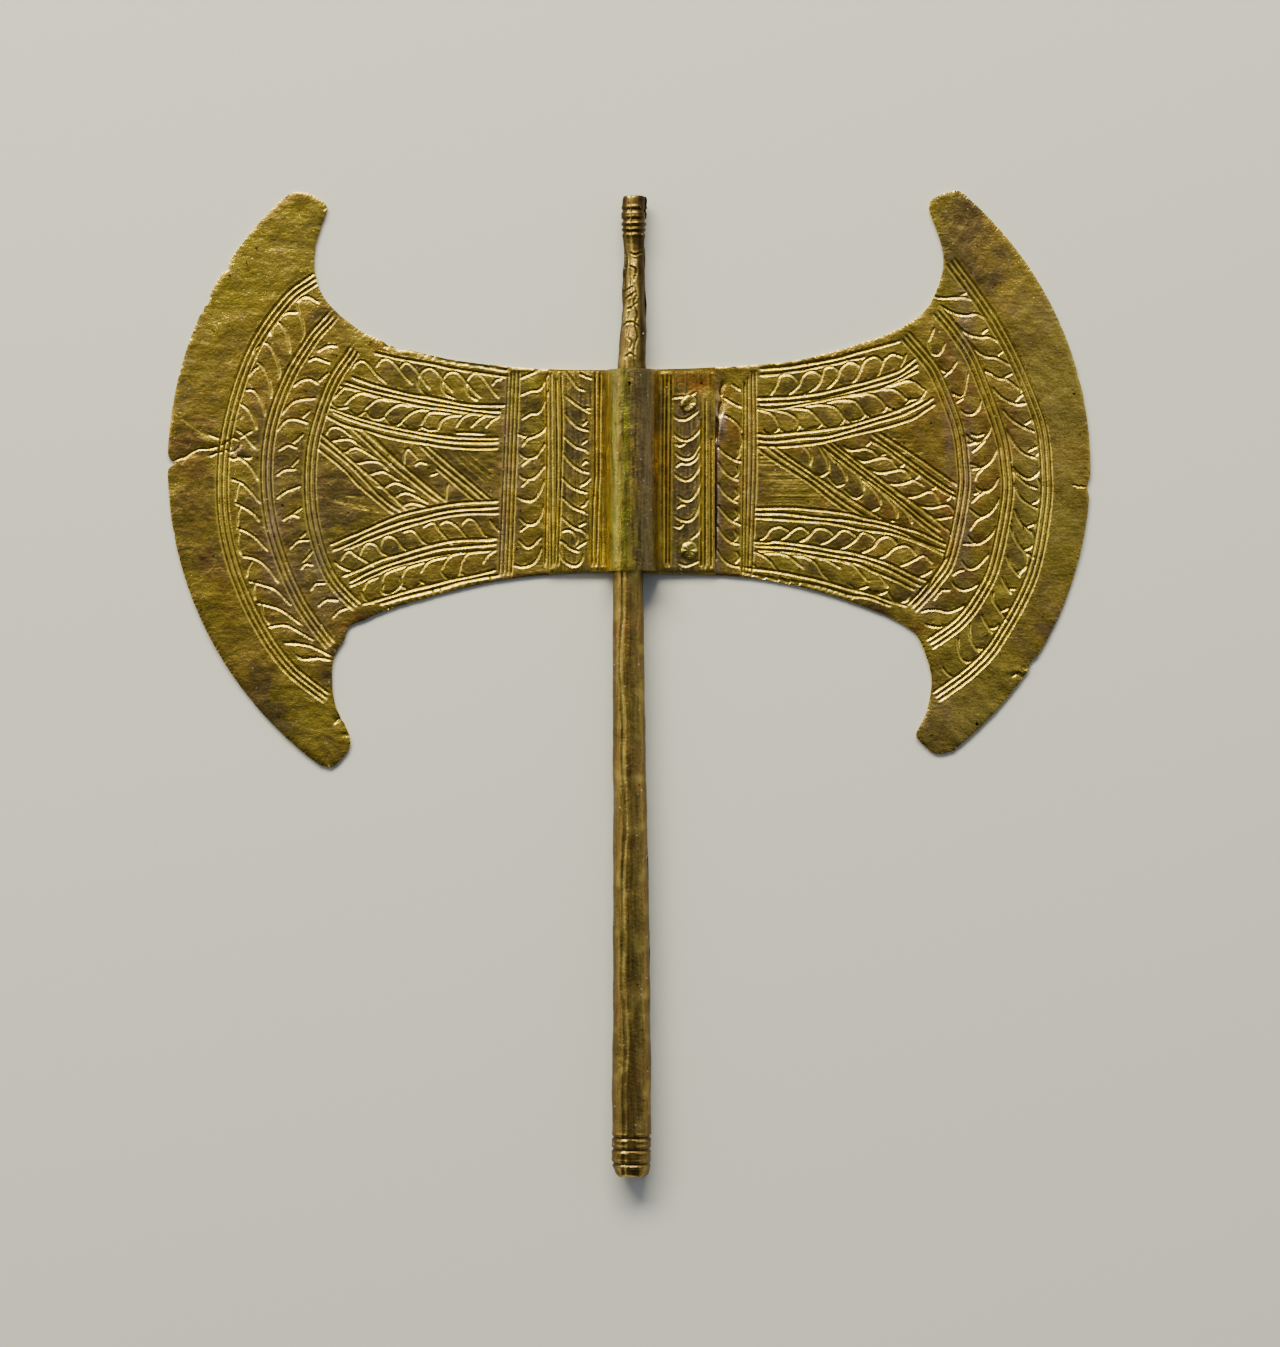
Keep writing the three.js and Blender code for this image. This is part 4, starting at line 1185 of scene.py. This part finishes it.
handle_shape = tube_grid(handle_round, handle_steps, handle_outside)
bore = tube_grid(24, 90, handle_inside)
bore_mesh = finished("bore", bore)
handle_shape.from_mesh(bore_mesh)
bpy.data.meshes.remove(bore_mesh)
for level in (handle_low.y, handle_high.y):
    rings = [edge for edge in handle_shape.edges if edge.is_boundary
             and abs(edge.verts[0].co.y - level) < 2 * mm]
    bmesh.ops.bridge_loops(handle_shape, edges=rings)
bmesh.ops.recalc_face_normals(handle_shape, faces=handle_shape.faces)
handle_mesh = finished("handle_tube", handle_shape)
hx, hy, hz = points_of(handle_mesh)
ring_mask = 1.3 * sum(rounded(hy - place * mm, 0.12 * mm) for place, depth in handle_rings)
front = hz > sheet_thick + 1.4 * mm
creased = np.where(front, on_metal(handle_metal, "dark", hx, hy), 0)
off_middle = hx - handle_middle(hy)
# Painted shade down both sides of the tube, where it rolls away from the light.
rolled_away = np.clip((np.abs(off_middle) / (handle_width(hy) / 2) - 0.5) / 0.42, 0, 1)
near_top = np.clip((hy - crumpled_from) / (8 * mm), 0, 1)
# Darker towards the top, and painted shade down the tube's right side.
darker_top_and_shaded_right = 0.42 * near_top + 0.5 * np.clip((off_middle - 0.25 * mm) / (0.3 * mm), 0, 1) * (hy > plain_below)
paint(handle_mesh, "groove_dirt_and_shade", np.clip(ring_mask + creased + 0.75 * rolled_away + darker_top_and_shaded_right, 0, 1))
# Painted highlight along the seam, broken in places, and on the crumples' bumps, laid with the worn gold of
# the creases' lips.
off_seam = off_middle - handle_width(hy) / 2 * np.cos(seam_at(hy))
broken = np.clip(0.7 + hammered(hy, hy, 33, 2.4, 9 * mm, 0.8 * mm), 0, 1)
on_seam = broken * rounded(off_seam, 0.17 * mm)
on_bumps = np.clip(hammered(hx, hy, 31, 1.2, 5 * mm, 0.8 * mm) - 0.3, 0, 1)
rub_and_highlight = on_bumps + on_seam + on_metal(handle_metal, "rub_and_highlight", hx, hy)
paint(handle_mesh, "ridge_rub_and_highlight", np.where(front, rub_and_highlight, 0))
paint(handle_mesh, "warm", np.clip(hammered(hx, hy, 32, 0.8, 12 * mm, 2 * mm), 0, 0.6))
# More film towards the lower end, darker towards the top, and painted shade down the tube's right side.
film_low = np.clip((-hy - 20 * mm) / (90 * mm), 0, 0.3)
darker_top = np.minimum(near_top, 0.7)
shaded_right_side = 0.6 * np.clip((hx - 0.2 * mm) / mm, 0, 1) * (hy > plain_below)
paint(handle_mesh, "dull", 0.55 + film_low + darker_top + shaded_right_side)
handle_tube = placed("handle_tube", handle_mesh)
# Its dirt tone also paints the shade down the tube's sides and right.
handle_gold = old_gold("handle_gold", (0.74, 0.55, 0.14), (0.29, 0.205, 0.055), (0.42, 0.23, 0.07),
                       (0.03, 0.018, 0.01), grain=(1, 0.06, 1), streak=1.6, relief=0.05 * mm)
handle_mesh.materials.append(handle_gold)
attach(handle_tube, "root")
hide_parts("handle")


# The sleeve: a plate of gold bent up into a long bulge over the handle, its flanges flat on the blade.
# Each flange carries one row of leaves between upright lines, chased before it was riveted on.
sleeve_low, sleeve_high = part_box("sleeve")
sleeve_thick = 0.35 * mm
bulge_half = 2.8 * mm
bulge_rise = sleeve_high.z - sheet_thick
sleeve_pitch = 0.1 * mm
flange_from = bulge_half + 0.1 * mm
sleeve_lines = drawn("""
551,374 551,420 552,568
556,380 557,470 555,566
561,374 562,440 558,566
595,374 595,470 593,510 592,566
600,374 599,470 598,500 596,566
604,374 605,438 605,460 603,490 602,566
663,376 662,460 661,566
667,376 666,420 666,566
671,376 670,460 669,566
701,420 701,568
705,400 705,568
711,440 711,568
""")
sleeve_leaves = drawn("""
567,373 572,380 578,388 585,391
580,374 586,377 592,379
566,396 573,402 580,407 590,413
585,408 590,409
566,414 570,420 576,426 582,429 589,431
583,425 587,421
564,436 570,442 576,447 585,450 588,453
582,444 587,440
564,454 569,461 575,467 582,471 589,473
582,465 586,461 588,463
562,477 567,483 573,488 580,491 587,493
580,486 586,483 590,478
562,497 568,503 574,508 582,511 587,514
581,507 585,505 587,500
562,517 568,523 575,528 581,530 586,534 587,538
579,526 585,523
560,540 565,544 571,549 579,552
562,532 568,530 574,533 577,539 576,545
577,548 581,545 586,542
560,548 561,555 564,561 570,565 576,566 581,562 583,555
673,398 681,397 688,397 695,393
674,416 679,419.5 686,419.5 693,415 698,411
674,434 680,439 686,440.5 692,438 698,432 700,426
676,453 680,457 687,459 693,456 699,446 700.5,440
680,462 687,464 695,460 700,450
675,474 681,479 687,480.5 693,477 699,467 700.5,454
678,496 684,500 690,500 696,493 700,483 701,470
675,516 681,520 688,521 694,517 699,505 701,489
691,539 696,535 699.5,529 701,515 701,504
679,563 685,566 692,564 698,561
676,467 679,464 683,463
677,508 681,505 685,505
675,526 679,528 683,524
676,444 680,446 685,443
""")


def omega(inner):
    """The sleeve's section as a path from its left edge to its right: flange, bulge, flange."""
    half = bulge_half - inner
    rise = bulge_rise - inner
    flatter = 0.78
    lift = math.asin(min((sleeve_thick - inner) / rise, 1.0) ** (1 / flatter))
    angles = math.pi - lift - (math.pi - 2 * lift) * np.linspace(0, 1, 60)
    arch = np.column_stack([half * np.sign(np.cos(angles)) * np.abs(np.cos(angles)) ** flatter,
                            sheet_thick + rise * np.sin(angles) ** flatter])
    flange = sheet_thick + sleeve_thick - inner
    return np.vstack([[(sleeve_low.x, flange)], arch, [(sleeve_high.x, flange)]])


def evenly(path, shares):
    """Places on a path at shares of its length."""
    travelled = np.concatenate([[0], np.cumsum(np.hypot(*np.diff(path, axis=0).T))])
    goal = shares * travelled[-1]
    return np.column_stack([np.interp(goal, travelled, path[:, 0]), np.interp(goal, travelled, path[:, 1])])


outer_path, inner_path = omega(0.0), omega(sleeve_thick)
outer_length = np.hypot(*np.diff(outer_path, axis=0).T).sum()
sleeve_across = int(outer_length / sleeve_pitch)
sleeve_along = int((sleeve_high.y - sleeve_low.y) / sleeve_pitch)
sleeve_corners = [np.array([corner.x, corner.y]) for corner in (sleeve_low, sleeve_high)]
sleeve_metal = blank(*sleeve_corners, drawn_pitch)
chase_all(sleeve_metal, sleeve_lines, line_width, line_depth * 0.9, line_lip, ends=0.02)
chase_all(sleeve_metal, sleeve_leaves, leaf_width * 1.1, leaf_depth, leaf_lip, ends=0.15, dirt=0.4)

plate = bmesh.new()
bmesh.ops.create_grid(plate, x_segments=sleeve_across, y_segments=sleeve_along, size=0.5)
front_verts = list(plate.verts)
shares = np.array([vert.co[:2] for vert in front_verts]) + 0.5
back = bmesh.ops.duplicate(plate, geom=list(plate.verts) + list(plate.edges) + list(plate.faces))
back_verts = [back["vert_map"][vert] for vert in front_verts]
bmesh.ops.reverse_faces(plate, faces=[item for item in back["geom"] if isinstance(item, bmesh.types.BMFace)])
section = evenly(outer_path, shares[:, 0])
across = np.linspace(0, 1, 400)
slope = np.gradient(evenly(outer_path, across), axis=0)
slope /= np.hypot(slope[:, 0], slope[:, 1])[:, None]
normal_x = np.interp(shares[:, 0], across, -slope[:, 1])
normal_z = np.interp(shares[:, 0], across, slope[:, 0])
sx = section[:, 0]
sy = sleeve_low.y + shares[:, 1] * (sleeve_high.y - sleeve_low.y)
flat = np.abs(sx) > flange_from
cut = np.where(flat, on_metal(sleeve_metal, "cut", sx, sy), 0)
lip = np.where(flat, on_metal(sleeve_metal, "lip", sx, sy), 0)
swell = hammered(shares[:, 0] * outer_length, sy, 41, 0.05 * mm, 8 * mm, 1.2 * mm)
swell += patches(sx, sy, [(700, 385, 8, 6, -0.07), (722, 395, 3, 10, -0.08)]) * mm
fade = np.clip(np.minimum(shares[:, 1], 1 - shares[:, 1]) * 20 * mm / (0.25 * mm), 0, 1)
lift = np.minimum(swell, 0.03 * mm) - 0.03 * mm * np.where(flat, 0, 1) + lip * (1 - cut / leaf_depth) - cut
lift = lift - 0.02 * mm * (1 - fade)
edge_x = np.clip(np.minimum(shares[:, 0], 1 - shares[:, 0]) * outer_length / (0.2 * mm), 0, 1)
lift = lift - 0.06 * mm * (1 - edge_x)
for vert, x, y, z, nx, nz, rise in zip(front_verts, sx, sy, section[:, 1], normal_x, normal_z, lift):
    vert.co = (x + nx * rise, y, z + nz * rise)
under = evenly(inner_path, shares[:, 0])
for vert, (x, z), y in zip(back_verts, under, sy):
    vert.co = (x, y, z)
bmesh.ops.bridge_loops(plate, edges=[edge for edge in plate.edges if edge.is_boundary])
bmesh.ops.recalc_face_normals(plate, faces=plate.faces)
for edge in plate.edges:
    if len(edge.link_faces) == 2 and edge.calc_face_angle(0) > math.radians(70):
        edge.smooth = False
sleeve_mesh = finished("sleeve_plate", plate)
px, py = points_of(sleeve_mesh)[:2]
on_flange = np.abs(px) > flange_from
paint(sleeve_mesh, "groove_dirt_and_shade", np.where(on_flange, on_metal(sleeve_metal, "dark", px, py), 0))
# Painted highlights: a bright line down the bulge's right foot and a glint at its lower end.
painted_bulge_highlights = patches(px, py, [(659, 505, 1.3, 70, 1.0), (629, 565, 4, 2, 1.0)])
paint(sleeve_mesh, "ridge_rub_and_highlight", np.clip(np.where(on_flange, on_metal(sleeve_metal, "rub_and_highlight", px, py), 0)
                                    + painted_bulge_highlights, 0, 1.2))
paint(sleeve_mesh, "warm", np.clip(patches(px, py, [
    (666, 470, 5, 120, 0.4), (695, 381, 27, 13, 1.3), (553, 420, 6, 60, 0.6), (598, 470, 6, 110, 0.5),
    (710, 470, 6, 110, 0.6), (620, 470, 2.5, 120, 0.4)]), 0, 1))
# The patch over the bulge's right half is painted shade, on the side turned from the light.
paint(sleeve_mesh, "dull", np.clip(patches(px, py, [
    (646, 470, 14, 130, 0.8), (614, 470, 9, 120, 0.8), (688, 480, 16, 110, 0.9),
    (575, 480, 12, 110, 0.4)]), 0, 1))
# Painted sheen: the bulge's left half and a stripe up it, green-gold where the light falls.
paint(sleeve_mesh, "bloom_and_sheen", np.clip(patches(px, py, [
    (614, 480, 14, 150, 0.8), (626, 470, 3, 150, 0.8)]), 0, 1))
sleeve_plate = placed("sleeve_plate", sleeve_mesh)
# Its bloom tone is the green-gold of that painted sheen.
sleeve_gold = old_gold("sleeve_gold", (0.86, 0.64, 0.085), (0.24, 0.18, 0.075), (0.46, 0.22, 0.04),
                       (0.006, 0.004, 0.003), bloom_and_sheen=(0.33, 0.33, 0.045), grain=(1, 0.07, 1), streak=1.8)
sleeve_mesh.materials.append(sleeve_gold)
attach(sleeve_plate, "root")
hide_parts("sleeve")


# The rivets: two gold pins through sleeve and blade, their heads hammered down by hand.
# The upper head is worn and torn at one side, the lower one is a folded disc.
rivet_gold = old_gold("rivet_gold", (0.66, 0.54, 0.11), (0.4, 0.32, 0.07), (0.42, 0.2, 0.05),
                      (0.02, 0.014, 0.008))
shank_radius = 0.4 * mm


def hammered_rivet(name, node, seed, fold, wear):
    """A pin spun from its outline, its head then folded and worn by as much as is given."""
    low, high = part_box(node)
    centre = (low + high) / 2
    radius = (high.x - low.x) / 2
    head_foot = sheet_thick + sleeve_thick - 0.06 * mm
    rise = high.z - head_foot
    pin = bmesh.new()
    outline = [(0, 0), (shank_radius, 0), (shank_radius, head_foot), (radius, head_foot)]
    steps = 12
    for k in range(1, steps + 1):
        turn = math.pi / 2 * k / steps
        reach = radius * math.cos(turn) ** 0.6 if k < steps else 0
        outline.append((reach, head_foot + rise * math.sin(turn) ** 0.25))
    verts = [pin.verts.new((r, 0, z)) for r, z in outline]
    edges = [pin.edges.new(pair) for pair in zip(verts, verts[1:])]
    bmesh.ops.spin(pin, geom=verts + edges, cent=(0, 0, 0), axis=(0, 0, 1), angle=2 * math.pi, steps=56,
                   use_merge=True)
    bmesh.ops.remove_doubles(pin, verts=pin.verts, dist=0.003 * mm)
    bmesh.ops.recalc_face_normals(pin, faces=pin.faces)
    for vert in pin.verts:
        under_head = vert.co.z > head_foot - 0.01 * mm and vert.co.xy.length > shank_radius + 0.01 * mm
        if under_head or vert.co.z > head_foot + 0.1 * mm:
            turn = math.atan2(vert.co.y, vert.co.x)
            shrink = 1 - 0.03 * abs(math.sin(2.5 * turn + seed)) - wear * max(math.cos(turn + 0.7), 0)
            vert.co.x *= shrink
            vert.co.y *= shrink
            share = (vert.co.z - head_foot) / rise
            across = (vert.co.x * 0.7 - vert.co.y * 0.7) / radius
            folded = fold * (0.5 + 0.5 * math.sin(5 * across + seed)) + 0.03 * math.sin(7 * turn)
            vert.co.z -= rise * share * folded
    bmesh.ops.translate(pin, vec=(centre.x, centre.y, 0), verts=pin.verts)
    mesh = finished(name, pin)
    mesh.materials.append(rivet_gold)
    piece = placed(name, mesh)
    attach(piece, "root")
    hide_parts(node)


hammered_rivet("upper_rivet_head", "upper_rivet", 1.3, 0.3, 0.22)
hammered_rivet("lower_rivet_head", "lower_rivet", 0.4, 0.14, 0.0)


# A plain pale floor and a camera looking straight down. A broad soft light stands beyond the head of
# the handle and a faint narrow one at its left. The room glows most beyond the handle's head.
ground = bmesh.new()
bmesh.ops.create_grid(ground, x_segments=4, y_segments=4, size=1.5)
bmesh.ops.translate(ground, vec=(0, 0, -0.02 * mm), verts=ground.verts)
floor = placed("floor", finished("floor", ground))
floor_paint = bpy.data.materials.new("floor_paint")
floor_paint.use_nodes = True
floor_shader = floor_paint.node_tree.nodes["Principled BSDF"].inputs
floor_shader["Base Color"].default_value = (0.72, 0.73, 0.74, 1)
floor_shader["Roughness"].default_value = 0.9
floor.data.materials.append(floor_paint)


def softbox(name, place, aim, wide, tall, watts):
    """A warm rectangular light, turned to where it is aimed."""
    data = bpy.data.lights.new(name, "AREA")
    data.shape = "RECTANGLE"
    data.size, data.size_y = wide, tall
    data.energy = watts
    data.color = (1.0, 0.93, 0.64)
    box = placed(name, data)
    box.location = place
    box.rotation_euler = (Vector(place) - Vector(aim)).to_track_quat("Z", "Y").to_euler()


aim = (0.0, -0.01, 0.0)
softbox("key", (-0.12, 0.48, 0.38), aim, 0.6, 0.22, 8.6)
softbox("side", (-0.5, 0.1, 0.3), aim, 0.12, 0.3, 0.35)

world = bpy.data.worlds.new("room")
world.use_nodes = True
sky = world.node_tree
direction = add(sky, "ShaderNodeTexCoord").outputs["Generated"]
turned = add(sky, "ShaderNodeSeparateXYZ", {0: direction}).outputs
beyond = spread(sky, turned["Y"], -0.35, 0.5, 0.012, 0.34)
to_the_right = spread(sky, turned["X"], 0.0, 0.4, 1.0, 1.45)
beside_it = spread(sky, worked(sky, "ABSOLUTE", turned["X"]), 0.35, 0.85, 0.0, 0.3)
not_this_side = spread(sky, turned["Y"], -0.45, 0.0)
low_down = spread(sky, turned["Z"], 0.45, 0.2, 0.0, 0.16)
this_side = spread(sky, turned["Y"], -0.35, -0.7)
glow = worked(sky, "MULTIPLY", beyond, to_the_right)
glow = worked(sky, "ADD", glow, worked(sky, "MULTIPLY", beside_it, not_this_side))
glow = worked(sky, "ADD", glow, worked(sky, "MULTIPLY", low_down, this_side))
sky.nodes["Background"].inputs["Color"].default_value = (0.86, 0.92, 1.0, 1)
sky.links.new(glow, sky.nodes["Background"].inputs["Strength"])
bpy.context.scene.world = world

camera_data = bpy.data.cameras.new("camera")
camera_data.lens = 85.0
camera_data.sensor_width = 36.0
camera_data.clip_start = 0.01
camera = placed("camera", camera_data)
frame_height = 134.7 * mm
camera_height = frame_height * camera_data.lens / camera_data.sensor_width + sheet_thick
camera.location = (0.8 * mm, -20.05 * mm, camera_height)
bpy.context.scene.camera = camera
